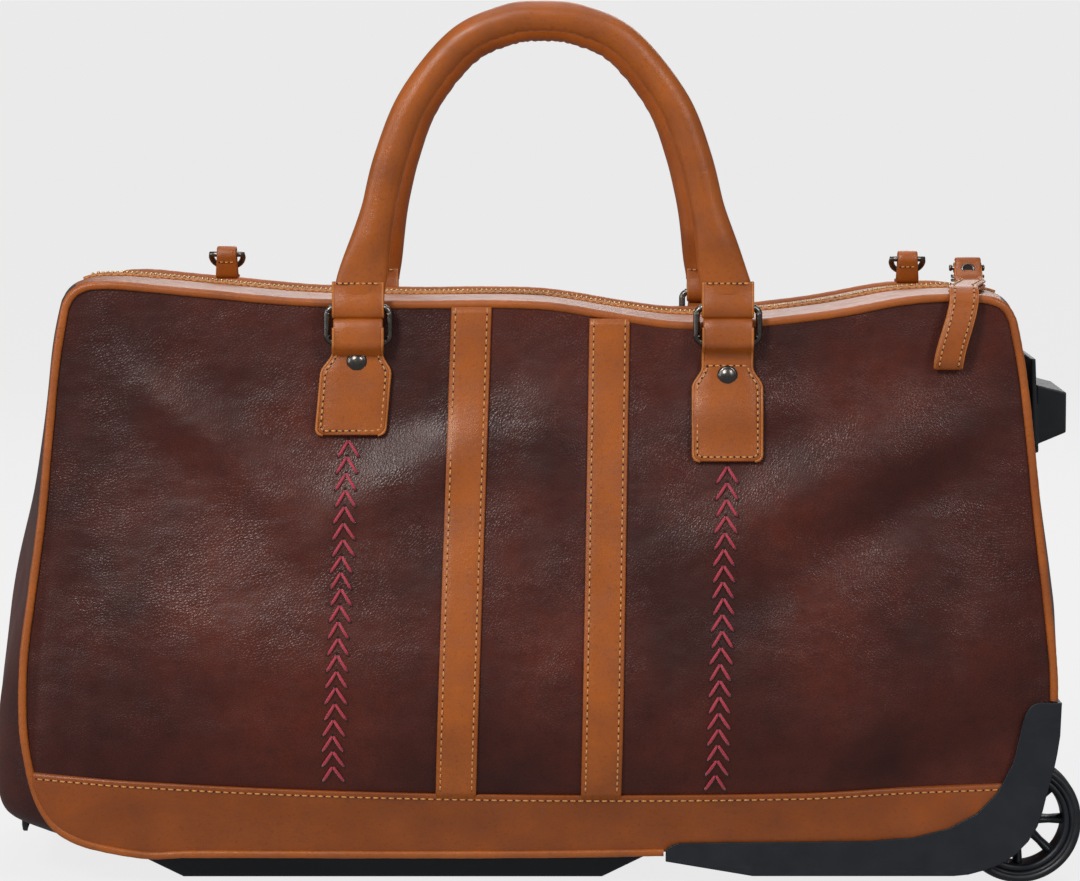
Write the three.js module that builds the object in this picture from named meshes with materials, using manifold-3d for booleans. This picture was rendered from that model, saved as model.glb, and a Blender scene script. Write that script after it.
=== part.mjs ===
// Rolling travel holdall: soft leather body, two carry handles on rectangular rings, zip top,
// corner wheels and a telescopic pull handle that slides out of the base.
// Millimetres. +X is the wheel end, -Y the front, +Z up, z = 0 the floor.
import * as THREE from "three";
import { mergeVertices } from "three/addons/utils/BufferGeometryUtils.js";
import Module from "manifold-3d";

const wasm = await Module();
wasm.setup();

// ---- driving dimensions ----
const gap = 0.3; // between pieces that touch

const bag = {
  length: 524, // across the front panel at its widest, between piping centre lines
  height: 290, // front panel, from its lower edge to its higher top corner
  depth: 230, // between the outer faces of the front and rear panels
  base: 17, // lower edge of the panels above the floor
  endLean: 23, // how far each end leans in from bottom to top
  bottomRadius: 56,
  bottomFlat: 30, // straight part of the base next to each bottom corner
  topRadius: 13,
  baseRise: 3, // the base climbs this much towards the wheels
  slump: 7, // the rear top edge hangs this much lower than the front one
  cornerDrop: 7, // the wheel-end top corner is lower than the other
  panelThickness: 3.5,
  gussetThickness: 3,
};
// how far the top edge sags below its corners: [distance from the middle, drop]
const topSag = [
  [190, 7], [150, 14], [106, 19], [70, 20], [40, 16], [0, 10], [-70, 9.5], [-125, 8], [-180, 3],
];
const bulge = { leftTop: 8, leftLow: 26, rightTop: 8, rightLow: 15, cornerFill: 12, crown: 2 };

const pipingRadius = 2.3;
const trim = { thickness: 1.8, stripeWidth: 20.5, bandTop: 54 };
const stripes = [
  { name: "left", top: -33.5, bottom: -42.5 },
  { name: "right", top: 36, bottom: 31 },
];

const patch = {
  span: 93, // from the middle of the bag to each patch
  centre: 1.5,
  thickness: 4,
  width: 35,
  tabWidth: 25,
  cornerRadius: 3,
  shoulder: 9, // height over which the tab widens
  left: { bottom: 232, shoulderTop: 273, leanDegrees: -4 },
  right: { bottom: 219, shoulderTop: 266, leanDegrees: 0 },
  rivetRadius: 4.5,
  rivetHeight: 1.8,
  rivetBelowShoulder: 4,
};
const ring = {
  width: 35, height: 21, wire: 3.5, barHeight: 279, stand: 7.5, loopClearance: 0.55, leather: 2,
};
const handle = { tube: 15.6, rise: 146, loopWidth: 25, shankThickness: 7.5, shankLength: 13 };

const zip = { tapeWidth: 16, tapeThickness: 1.5, chainWidth: 5.5, chainHeight: 1.6 };
const slider = {
  x: 226, length: 17, width: 9, height: 4.5, travel: 40,
  stand: 1.6, // above the teeth, for the zip's curve
  lugLength: 5, lugWidth: 6.4, eyeRadius: 1.6, eyeAbove: 2.4, eyeWall: 1.4, pinClearance: 0.35, pinBeyond: 2,
};
const puller = {
  width: 13, thickness: 2.6, drop: 41, reach: 4, eyeWall: 2.2, level: 12, clearance: 3, slotDepth: 12,
};
const strapTab = {
  width: 12, height: 19, thickness: 5, leftX: -167, rightX: 196, y: 24,
  foot: 1.2, footReach: 16, footThickness: 2.4, eyeBelowTop: 6, eyeOuter: 4.2, eyeInner: 2.1,
};
const dRing = { width: 17, height: 13, wire: 3, droopDegrees: 35 };

const wheel = {
  radius: 32, width: 24, tyre: 6, rim: 4, hub: 9, spokes: 8, spokeWidth: 4.2, spokeDepth: 14,
  boreClearance: 0.3, axleRadius: 3, inset: 16.7, frontOfPanel: 18.7, runOut: 2.2,
};
const guard = {
  plate: 3.3, top: 95, depth: 39, reach: 3.6, toe: 64, toeRun: 46, toeDrop: 3.5, inboard: 18,
  underFront: 10, underBack: 12, lowest: 6, // how far the lower edge hangs below the leather
  topWidth: 9, shoulder: 17, waist: 23, armX: 46, armEnd: 94, armRise: 7,
};
const skid = { inset: 54, right: 56, chamfer: 24, width: 176, ribs: 3, edge: 4, belowLeather: 1.3 };
const foot = {
  height: 30, bottom: 220.5, width: 72, wall: 4, plate: 3, plateAbove: 14, plateBelow: 6, plateBeside: 4,
  setBack: 2.4, taper: 5, // its face stands this far behind the wheels
};

const trolley = {
  height: 40, spacing: 84, outerWide: 18, outerTall: 14, wall: 1, clearance: 0.35,
  right: 196, step: 8, gripDepth: 16, gripTall: 17, gripWide: 112,
};
const bezel = { beyondPanel: 6, depth: 27, wall: 3, fingerRoom: 6.2 };
const button = { length: 26, width: 8, proud: 2.2, travel: 2, seat: 5 };
const tray = { thickness: 3, rib: 4 };
const board = { thickness: 3, inset: 6 };

// ---- materials ----
const material = (color, roughness, metalness = 0) =>
  new THREE.MeshStandardMaterial({ color, roughness, metalness });
const brownLeather = material(0x4a2822, 0.42);
const tanLeather = material(0xa8622e, 0.45);
const blackPlastic = material(0x1e2329, 0.4);
const tyreRubber = material(0x17191c, 0.6);
const gunmetal = material(0x6a6864, 0.32, 1);
const brass = material(0xb9975a, 0.35, 1);
const aluminium = material(0xb8babd, 0.3, 1);
const lining = material(0x3a3a3c, 0.85);

const group = new THREE.Group();

// ---- helpers ----
function solid(geometry) {
  const plain = (geometry.index ? geometry.toNonIndexed() : geometry).clone();
  plain.deleteAttribute("normal");
  plain.deleteAttribute("uv");
  const merged = mergeVertices(plain, 1e-3);
  const triVerts = new Uint32Array(merged.index.array);
  const vertProperties = merged.attributes.position.array;
  return new wasm.Manifold(new wasm.Mesh({ numProp: 3, vertProperties, triVerts }));
}

function add(name, shape, look, mirrored = false) {
  const mesh = shape.getMesh();
  const positions = Float32Array.from(mesh.vertProperties);
  const triangles = Uint32Array.from(mesh.triVerts);
  if (mirrored) {
    for (let i = 1; i < positions.length; i += 3) positions[i] *= -1;
    for (let i = 0; i < triangles.length; i += 3) {
      [triangles[i + 1], triangles[i + 2]] = [triangles[i + 2], triangles[i + 1]];
    }
  }
  const geometry = new THREE.BufferGeometry();
  geometry.setAttribute("position", new THREE.BufferAttribute(positions, 3));
  geometry.setIndex(new THREE.BufferAttribute(triangles, 1));
  geometry.computeVertexNormals();
  const piece = new THREE.Mesh(geometry, look.clone());
  piece.name = name;
  group.add(piece);
}

const union = (...shapes) => shapes.reduce((all, one) => all.add(one));

function box(x0, x1, y0, y1, z0, z1) {
  const block = new THREE.BoxGeometry(x1 - x0, y1 - y0, z1 - z0);
  return solid(block.translate((x0 + x1) / 2, (y0 + y1) / 2, (z0 + z1) / 2));
}

function cylinderY(radius, y0, y1, x, z, sides = 32) {
  return solid(new THREE.CylinderGeometry(radius, radius, y1 - y0, sides).translate(x, (y0 + y1) / 2, z));
}

function cylinderX(radius, x0, x1, y, z, sides = 12) {
  const rod = new THREE.CylinderGeometry(radius, radius, x1 - x0, sides).rotateZ(Math.PI / 2);
  return solid(rod.translate((x0 + x1) / 2, y, z));
}

// a shape drawn in X and Z, between two Y planes
function extrudeY(shape, y0, y1) {
  const slab = new THREE.ExtrudeGeometry(shape, { depth: y1 - y0, bevelEnabled: false, curveSegments: 6 });
  return solid(slab.rotateX(Math.PI / 2).translate(0, y1, 0));
}

// a shape drawn in Y and Z, between two X planes
function extrudeX(shape, x0, x1) {
  const slab = new THREE.ExtrudeGeometry(shape, { depth: x1 - x0, bevelEnabled: false, curveSegments: 3 });
  const axes = new THREE.Matrix4().makeBasis(
    new THREE.Vector3(0, 1, 0),
    new THREE.Vector3(0, 0, 1),
    new THREE.Vector3(1, 0, 0),
  );
  return solid(slab.applyMatrix4(axes).translate(x0, 0, 0));
}

const polygon = (points) => new THREE.Shape(points.map(([x, y]) => new THREE.Vector2(x, y)));

function roundedRectangle(width, height, radius, x = 0, y = 0) {
  const [w, h] = [width / 2, height / 2];
  const shape = new THREE.Shape();
  shape.moveTo(x - w + radius, y - h);
  shape.lineTo(x + w - radius, y - h);
  shape.absarc(x + w - radius, y - h + radius, radius, -Math.PI / 2, 0);
  shape.lineTo(x + w, y + h - radius);
  shape.absarc(x + w - radius, y + h - radius, radius, 0, Math.PI / 2);
  shape.lineTo(x - w + radius, y + h);
  shape.absarc(x - w + radius, y + h - radius, radius, Math.PI / 2, Math.PI);
  shape.lineTo(x - w, y - h + radius);
  shape.absarc(x - w + radius, y - h + radius, radius, Math.PI, Math.PI * 1.5);
  return shape;
}

const mix = (a, b, t) => a + (b - a) * t;
const clamp01 = (t) => Math.min(1, Math.max(0, t));
const smooth = (t) => clamp01(t) ** 2 * (3 - 2 * clamp01(t));

// ---- the outline of the front and rear panels, anticlockwise seen from the front ----
const half = bag.length / 2;
const wheelX = half - wheel.inset;
const bezelFace = -half - bezel.beyondPanel;
const skidLeft = -half + skid.inset;
const baseZ = bag.base;
const topZ = bag.base + bag.height;
const panelY = bag.depth / 2;

function outlineCurve(slump) {
  const bottom = bag.bottomRadius;
  const top = bag.topRadius;
  const diagonal = 1 - Math.SQRT1_2;
  const flat = bag.bottomFlat;
  const leftTop = half - bag.endLean;
  const rightTop = half - bag.endLean - 1;
  const high = topZ - slump;
  const low = baseZ + bag.baseRise;
  const midZ = mix(baseZ + bottom, high, 0.5);
  const points = [
    [-half + bottom, baseZ],
    [-half + bottom + flat, baseZ],
    [0, baseZ],
    [half - bottom - flat, low],
    [half - bottom, low],
    [half - bottom * diagonal, low + bottom * diagonal],
    [half - 1.5, low + bottom],
    [mix(half, rightTop, 0.42), midZ],
    [rightTop + 1, high - bag.cornerDrop - top],
    [rightTop - top * diagonal, high - bag.cornerDrop - top * diagonal],
    [rightTop - top, high - bag.cornerDrop],
    ...topSag.map(([x, drop]) => [x, high - drop]),
    [-leftTop + top, high],
    [-leftTop + top * diagonal, high - top * diagonal],
    [-leftTop - 1, high - top],
    [-mix(half, leftTop, 0.42), midZ],
    [-half - 1, baseZ + bottom * 1.2],
    [-half + bottom * diagonal - 2, baseZ + bottom * diagonal - 2],
  ];
  return new THREE.CatmullRomCurve3(
    points.map(([x, z]) => new THREE.Vector3(x, 0, z)),
    true,
    "centripetal",
  );
}
const frontOutline = outlineCurve(0);
const rearOutline = outlineCurve(bag.slump);

// point and outward normal at a fraction of the way round
function onOutline(curve, u) {
  const at = (u + 1) % 1;
  const point = curve.getPoint(at);
  const tangent = curve.getTangent(at);
  return { x: point.x, z: point.z, nx: tangent.z, nz: -tangent.x };
}

// the fraction of the way round where the outline passes nearest a point
function findOnOutline(x, z) {
  const steps = 1200;
  let best = 0;
  let nearest = Infinity;
  for (let i = 0; i < steps; i++) {
    const p = frontOutline.getPoint(i / steps);
    const distance = Math.hypot(p.x - x, p.z - z);
    if (distance < nearest) [best, nearest] = [i / steps, distance];
  }
  return best;
}

const outlineSteps = 3 * frontOutline.points.length;
function outlineShape(curve, offset) {
  const points = [];
  for (let i = 0; i < outlineSteps; i++) {
    const p = onOutline(curve, i / outlineSteps);
    points.push([p.x + p.nx * offset, p.z + p.nz * offset]);
  }
  return polygon(points);
}

// a place further along the outline by a distance
function along(from, distance) {
  const step = 1e-4;
  const [a, b] = [onOutline(frontOutline, from), onOutline(frontOutline, from + step)];
  return from + (distance * step) / Math.hypot(b.x - a.x, b.z - a.z);
}

const u = {
  baseLeft: findOnOutline(-half + bag.bottomRadius + 14, baseZ),
  baseRight: findOnOutline(half - bag.bottomRadius - 12, baseZ + bag.baseRise),
  topRight: findOnOutline(half - bag.endLean, topZ - bag.cornerDrop - bag.topRadius - 8),
  topLeft: findOnOutline(-half + bag.endLean, topZ - bag.topRadius - 8),
  guardTop: findOnOutline(half, guard.top + gap + 1),
  guardToe: findOnOutline(guard.toe + 10, baseZ),
};

// the piping's centre line, from the top of one wheel guard round to its toe
class PipingRun extends THREE.Curve {
  constructor(outline) {
    super();
    this.outline = outline;
  }
  getPoint(t) {
    const p = onOutline(this.outline, mix(u.guardTop, 1 + u.guardToe, t));
    return new THREE.Vector3(p.x, -panelY, p.z);
  }
  getPointAt(t) {
    return this.getPoint(t);
  }
  getTangentAt(t) {
    return this.getTangent(t);
  }
}

// ---- the curved strips between the two panels ----
const gussetY = panelY - bag.panelThickness - gap;
const housingY = panelY - guard.depth;

// outward push, along X, of the end leather at an outline point and a depth
function endBulge(x, z, y) {
  const low = 1 - clamp01((z - baseZ) / bag.height);
  const corner = 1 - clamp01((z - baseZ) / bag.bottomRadius);
  const ends = smooth((Math.abs(x) - (half - 78)) / 50);
  const wide = Math.cos((Math.PI / 2) * clamp01(Math.abs(y) / gussetY)) ** 0.8;
  if (x < 0) return -ends * wide * (mix(bulge.leftTop, bulge.leftLow, low) + bulge.cornerFill * corner);
  const narrow = Math.cos((Math.PI / 2) * clamp01(Math.abs(y) / (housingY - 4)));
  const across = mix(narrow, wide, smooth((z - guard.top) / 45));
  return ends * across * mix(bulge.rightTop, bulge.rightLow, low);
}

function gussetPoint(at, y, inward) {
  const t = (y + gussetY) / (2 * gussetY);
  const front = onOutline(frontOutline, at);
  const rear = onOutline(rearOutline, at);
  const x = mix(front.x, rear.x, t);
  const z = mix(front.z, rear.z, t);
  const nx = mix(front.nx, rear.nx, t);
  const nz = mix(front.nz, rear.nz, t);
  const crown = bulge.crown * Math.sin(Math.PI * t) * smooth((z - topZ + 60) / 30);
  return [x + endBulge(x, z, y) - nx * inward, y, z + crown - nz * inward];
}

// a curved sheet between two places on the outline and two depths
function gussetSheet({ from, to, y0, y1, along, across, outer = 0, thickness = bag.gussetThickness }) {
  const rows = [];
  for (let i = 0; i <= along; i++) {
    for (let j = 0; j <= across; j++) {
      const at = mix(from, to, i / along);
      const y = mix(y0, y1, j / across);
      rows.push(gussetPoint(at, y, -outer), gussetPoint(at, y, thickness - outer));
    }
  }
  const index = (i, j, side) => 2 * (i * (across + 1) + j) + side;
  const triangles = [];
  const quad = (a, b, c, d) => triangles.push(a, c, b, a, d, c);
  for (let i = 0; i < along; i++) {
    for (let j = 0; j < across; j++) {
      quad(index(i, j, 0), index(i + 1, j, 0), index(i + 1, j + 1, 0), index(i, j + 1, 0));
      quad(index(i, j, 1), index(i, j + 1, 1), index(i + 1, j + 1, 1), index(i + 1, j, 1));
    }
    quad(index(i, 0, 0), index(i, 0, 1), index(i + 1, 0, 1), index(i + 1, 0, 0));
    quad(index(i, across, 0), index(i + 1, across, 0), index(i + 1, across, 1), index(i, across, 1));
  }
  for (let j = 0; j < across; j++) {
    quad(index(0, j, 0), index(0, j + 1, 0), index(0, j + 1, 1), index(0, j, 1));
    quad(index(along, j, 0), index(along, j, 1), index(along, j + 1, 1), index(along, j + 1, 0));
  }
  const geometry = new THREE.BufferGeometry();
  geometry.setAttribute("position", new THREE.Float32BufferAttribute(rows.flat(), 3));
  geometry.setIndex(triangles);
  return solid(geometry);
}

// height of the zip line above the floor at a distance along the bag
function zipHeight(x) {
  let at = u.topRight;
  while (gussetPoint(at, 0, 0)[0] > x) at += 0.001;
  return gussetPoint(at, 0, 0)[2];
}

// height of the front panel's top edge
function edgeHeight(x) {
  let at = u.topRight;
  while (onOutline(frontOutline, at).x > x) at += 0.001;
  return onOutline(frontOutline, at).z;
}

// ---- wheel housings, as seen from the front ----
const housingLeft = wheelX - wheel.radius - guard.inboard;

function guardContour(grow) {
  const points = [];
  const steps = 22;
  const start = findOnOutline(guard.toe + guard.toeRun, baseZ);
  const end = findOnOutline(half, guard.top);
  for (let i = 0; i <= steps; i++) {
    const t = i / steps;
    const p = onOutline(frontOutline, mix(start, end, t));
    const hang = mix(guard.underFront, guard.underBack, smooth(t * 3)) * (1 - smooth((t - 0.52) / 0.3));
    const out = hang + guard.reach + grow;
    points.push([p.x + p.nx * out, Math.max(p.z + p.nz * out, guard.lowest - grow)]);
  }
  return points;
}

function guardShape(grow) {
  const outer = guardContour(grow);
  const [edge, high] = [half, guard.top + grow];
  outer[outer.length - 1][1] = high;
  const shape = new THREE.Shape();
  shape.moveTo(guard.toe - grow, baseZ - guard.toeDrop - grow);
  outer.forEach(([x, z]) => shape.lineTo(x, z));
  const inner = edge - guard.shoulder - grow;
  const arm = baseZ + guard.armRise + grow;
  shape.lineTo(edge - guard.topWidth - grow, high);
  shape.quadraticCurveTo(inner + 2, high - 1, inner, high - 12);
  const waist = edge - guard.waist - grow;
  shape.bezierCurveTo(waist, high - 54, edge - guard.armX, arm + 1, edge - guard.armEnd, arm);
  shape.lineTo(guard.toe + 8, arm - 1);
  shape.quadraticCurveTo(guard.toe - grow, arm - 2, guard.toe - grow, baseZ + 0.5);
  return shape;
}

function cornerContour(points) {
  return polygon([...points, [housingLeft, guard.top], [housingLeft, baseZ]]);
}

function wheelHousing() {
  const face = -panelY - gap;
  const wheelY = -panelY + wheel.frontOfPanel;
  const cavityFront = wheelY - wheel.width / 2 - wheel.runOut;
  const cavityBack = wheelY + wheel.width / 2 + wheel.runOut;
  const behindPanel = -gussetY;
  const clearRadius = wheel.radius + wheel.runOut;
  const above = box(housingLeft, half * 2, -panelY - guard.plate * 2, 0, 0, guard.top);
  const plate = extrudeY(guardShape(0), face - guard.plate, face);
  const outer = extrudeY(cornerContour(guardContour(0).filter(([x]) => x > housingLeft)), face, cavityFront);
  const pocket = extrudeY(outlineShape(frontOutline, gap + pipingRadius), face - 1, behindPanel);
  const rim = outer.intersect(above).subtract(pocket);
  const front = extrudeY(
    cornerContour(guardContour(0).filter(([x]) => x > housingLeft)),
    behindPanel,
    cavityFront,
  );
  const block = extrudeY(outlineShape(frontOutline, -gap), behindPanel, -housingY).intersect(
    box(housingLeft, half * 2, -panelY, 0, baseZ + 1, guard.top - 3),
  );
  const endWall = extrudeY(
    polygon([
      ...guardContour(0).filter(([, z]) => z > wheel.radius * 2 - 6),
      [half - 8, guard.top],
      [half - 8, wheel.radius * 2 - 6],
    ]),
    behindPanel,
    -housingY,
  );
  const cavity = cylinderY(clearRadius, cavityFront, cavityBack, wheelX, wheel.radius, 40);
  const shell = union(plate, rim, front, block, endWall);
  const axleHole = cylinderY(wheel.axleRadius + gap, face - guard.plate + 0.7, 0, wheelX, wheel.radius, 16);
  const belowTop = box(-half, half * 2, -panelY * 2, 0, 0, guard.top);
  return shell.subtract(cavity).subtract(axleHole).intersect(belowTop);
}

// ---- body leather ----
const panelOffset = -pipingRadius - 2 * gap;
const housingCut = box(housingLeft - gap, half * 2, -panelY * 2, -housingY + gap, -1, guard.top + gap);
const housingCuts = union(housingCut, housingCut.mirror([0, 1, 0]));
const axleHole = cylinderY(wheel.axleRadius + gap, -panelY * 2, panelY * 2, wheelX, wheel.radius, 16);
const bezelTall = trolley.gripTall + 2 * (bezel.wall + bezel.fingerRoom);
const bezelWide = trolley.gripWide + 2 * (bezel.wall + bezel.fingerRoom);
const bezelCut = box(
  -half * 2, -half + bag.bottomRadius + 40,
  -bezelWide / 2 - gap, bezelWide / 2 + gap,
  trolley.height - bezelTall / 2 - gap, trolley.height + bezelTall / 2 + gap,
);

for (const [side, curve, mirrored] of [["front", frontOutline, false], ["rear", rearOutline, true]]) {
  const face = -panelY - gap;
  const panel = extrudeY(outlineShape(curve, panelOffset), -panelY, -panelY + bag.panelThickness);
  add(side + "_panel", panel.subtract(axleHole), brownLeather, mirrored);

  const trimSlab = extrudeY(outlineShape(curve, panelOffset), face - trim.thickness, face);
  const guardCut = extrudeY(guardShape(gap), face - guard.plate * 2, face + 1);
  const below = box(-half * 2, half * 2, -panelY * 2, 0, 0, trim.bandTop);
  add(side + "_band", trimSlab.intersect(below).subtract(guardCut), tanLeather, mirrored);

  for (const { name, top, bottom } of stripes) {
    const [w, low, high] = [trim.stripeWidth / 2, trim.bandTop + gap, topZ + bag.slump];
    const strip = polygon([[bottom - w, low], [bottom + w, low], [top + w, high], [top - w, high]]);
    const stripe = extrudeY(strip, -panelY * 1.5, 0).intersect(trimSlab);
    add(side + "_stripe_" + name, stripe, tanLeather, mirrored);
  }

  const section = new THREE.Shape().absarc(0, 0, pipingRadius, 0, Math.PI * 2);
  const path = new PipingRun(curve);
  const options = { steps: outlineSteps - 8, extrudePath: path, curveSegments: 3 };
  const piping = solid(new THREE.ExtrudeGeometry(section, options)).subtract(guardCut);
  add(side + "_piping", piping, tanLeather, mirrored);
}

const fullDepth = { y0: -gussetY, y1: gussetY };
const endLeft = gussetSheet({
  from: along(u.topLeft, gap), to: along(u.baseLeft, -gap) + 1, ...fullDepth, along: 20, across: 8,
});
add("end_gusset_left", endLeft.subtract(bezelCut), brownLeather);
const endRight = gussetSheet({
  from: along(u.baseRight, gap), to: along(u.topRight, -gap), ...fullDepth, along: 20, across: 10,
});
add("end_gusset_right", endRight.subtract(housingCuts), brownLeather);
const base = gussetSheet({
  from: along(u.baseLeft, gap), to: along(u.baseRight, -gap), ...fullDepth, along: 4, across: 1,
});
add("base_gusset", base.subtract(housingCuts), brownLeather);

const zipEdge = zip.tapeWidth / 2;
const topRun = { from: along(u.topRight, gap), to: along(u.topLeft, -gap), along: 30 };
add("zip_gusset_front", gussetSheet({ ...topRun, y0: -gussetY, y1: -zipEdge - gap, across: 3 }), tanLeather);
add("zip_gusset_rear", gussetSheet({ ...topRun, y0: zipEdge + gap, y1: gussetY, across: 3 }), tanLeather);
const tapeRun = { ...topRun, across: 1 };
add("zip_tape", gussetSheet({ ...tapeRun, y0: -zipEdge, y1: zipEdge, thickness: zip.tapeThickness }), lining);
const chain = gussetSheet({
  ...tapeRun, y0: -zip.chainWidth / 2, y1: zip.chainWidth / 2,
  outer: zip.chainHeight + gap, thickness: zip.chainHeight,
});
add("zip_chain", chain, brass);

// ---- handle patches, rivets, rings and handles ----
const barRadius = ring.wire / 2;
const loopInner = barRadius + ring.loopClearance;
const loopOuter = loopInner + ring.leather;
const ringY = -panelY - ring.stand;
const barTop = ring.barHeight + ring.height - ring.wire;

function loop(centreX, z, width) {
  return cylinderX(loopOuter, centreX - width / 2, centreX + width / 2, ringY, z, 16);
}
const loopBore = (z) => cylinderX(loopInner, -half, half, ringY, z, 16);

function handlePatch(x, { bottom, shoulderTop, leanDegrees }, drop) {
  const [w, tab, r] = [patch.width / 2, patch.tabWidth / 2, patch.cornerRadius];
  const face = -panelY - gap;
  const bar = ring.barHeight - drop;
  const [low, high] = [bottom - drop, shoulderTop - drop];
  const shape = new THREE.Shape();
  shape.moveTo(-w + r, low);
  shape.lineTo(w - r, low);
  shape.quadraticCurveTo(w, low, w, low + r);
  shape.lineTo(w, high - patch.shoulder);
  shape.quadraticCurveTo(w, high - 3, tab, high);
  shape.lineTo(-tab, high);
  shape.quadraticCurveTo(-w, high - 3, -w, high - patch.shoulder);
  shape.lineTo(-w, low + r);
  shape.quadraticCurveTo(-w, low, -w + r, low);
  const lean = THREE.MathUtils.degToRad(leanDegrees);
  const options = { depth: patch.thickness, bevelEnabled: false, curveSegments: 4 };
  const plate = new THREE.ExtrudeGeometry(shape, options);
  plate.rotateX(Math.PI / 2).translate(0, face, -bar).rotateY(-lean).translate(x, 0, bar);
  const neck = box(x - tab, x + tab, face - patch.thickness, face, high - 2, bar + barRadius);
  return union(solid(plate), neck, loop(x, bar, patch.tabWidth)).subtract(loopBore(bar));
}

function rivet(x, z) {
  const profile = [[0, 0], [patch.rivetRadius, 0], [patch.rivetRadius * 0.9, 0.7]];
  const dome = [[patch.rivetRadius * 0.55, patch.rivetHeight * 0.85], [0, patch.rivetHeight]];
  const points = [...profile, ...dome].map(([r, h]) => new THREE.Vector2(r, h));
  const head = new THREE.LatheGeometry(points, 14).rotateX(Math.PI);
  const seat = -panelY - patch.thickness - 2 * gap;
  return solid(head.translate(x, seat, z));
}

function ringSolid(x, drop) {
  const [w, z0, z1] = [ring.width / 2 - barRadius, ring.barHeight - drop, barTop - drop];
  const upright = (side) => {
    const rod = new THREE.CylinderGeometry(barRadius, barRadius, z1 - z0, 6);
    return solid(rod.rotateX(Math.PI / 2).translate(x + side * w, ringY, (z0 + z1) / 2));
  };
  const corner = (side, z) => {
    return solid(new THREE.SphereGeometry(barRadius, 6, 4).translate(x + side * w, ringY, z));
  };
  const bars = [z0, z1].map((z) => cylinderX(barRadius, x - w, x + w, ringY, z, 6));
  const corners = [z0, z1].flatMap((z) => [corner(-1, z), corner(1, z)]);
  return union(...bars, ...corners, upright(-1), upright(1));
}

function handleSolid(drop) {
  const foot = barTop + handle.shankLength - drop;
  const span = patch.span;
  const top = barTop + handle.rise - drop;
  // half widths of the arch at fractions of its rise
  const arch = [
    [0, 0.985], [0.1, 0.95], [0.26, 0.895], [0.47, 0.82], [0.69, 0.695], [0.9, 0.45], [0.985, 0.2],
  ];
  const side = arch.map(([rise, width]) => [width * span, mix(foot, top, rise)]);
  const points = [
    ...side.map(([x, z]) => [-x, z]),
    [0, top],
    ...side.toReversed(),
  ].map(([x, z]) => new THREE.Vector3(patch.centre + x, ringY, z));
  const section = new THREE.Shape().absarc(0, 0, handle.tube / 2, 0, Math.PI * 2);
  const path = new THREE.CatmullRomCurve3(points);
  const tube = solid(new THREE.ExtrudeGeometry(section, { steps: 36, extrudePath: path, curveSegments: 4 }));
  const ends = [-1, 1].map((direction) => {
    const x = patch.centre + direction * span;
    const [w, t] = [handle.loopWidth / 2, handle.shankThickness / 2];
    const shank = box(x - w, x + w, ringY - t, ringY + t, barTop - drop, foot + 3);
    return union(shank, loop(x, barTop - drop, handle.loopWidth));
  });
  return union(tube, ...ends).subtract(loopBore(barTop - drop));
}

for (const [side, drop, mirrored] of [["front", 0, false], ["rear", bag.slump, true]]) {
  for (const [name, direction] of [["left", -1], ["right", 1]]) {
    const x = patch.centre + direction * patch.span;
    const place = patch[name];
    const rivetZ = place.shoulderTop - drop - patch.rivetBelowShoulder;
    add(side + "_patch_" + name, handlePatch(x, place, drop), tanLeather, mirrored);
    add(side + "_rivet_" + name, rivet(x, rivetZ), gunmetal, mirrored);
    add(side + "_ring_" + name, ringSolid(x, drop), gunmetal, mirrored);
  }
  add(side + "_handle", handleSolid(drop), tanLeather, mirrored);
}

// ---- zip slider, pull strap and shoulder-strap tabs ----
const chainTop = zip.chainHeight + gap;
const sliderSlope = Math.atan2(
  zipHeight(slider.x) - zipHeight(slider.x - slider.travel),
  slider.travel,
);
function placeOnZip(shape, x, lift) {
  return shape.rotate([0, -THREE.MathUtils.radToDeg(sliderSlope), 0]).translate([x, 0, zipHeight(x) + lift]);
}
const sliderLift = chainTop + slider.stand;
const eyeHeight = slider.height + slider.eyeAbove;
const eyeRadius = slider.eyeRadius;
const [lugX, lugY] = [slider.lugLength / 2, slider.lugWidth / 2];
const sliderBody = union(
  box(-slider.length / 2, slider.length / 2, -slider.width / 2, slider.width / 2, 0, slider.height - 1.5),
  box(-lugX, lugX, -lugY, lugY, slider.height - 2, eyeHeight + eyeRadius + slider.eyeWall),
);
const pinHole = cylinderX(eyeRadius, -half, half, 0, eyeHeight, 12);
add("zip_slider", placeOnZip(sliderBody.subtract(pinHole), slider.x, sliderLift), gunmetal);

const pinReach = puller.width / 2 + slider.pinBeyond;
const pin = cylinderX(eyeRadius - slider.pinClearance, -pinReach, pinReach, 0, eyeHeight, 10);
add("puller_pin", placeOnZip(pin, slider.x, sliderLift), gunmetal);

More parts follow.
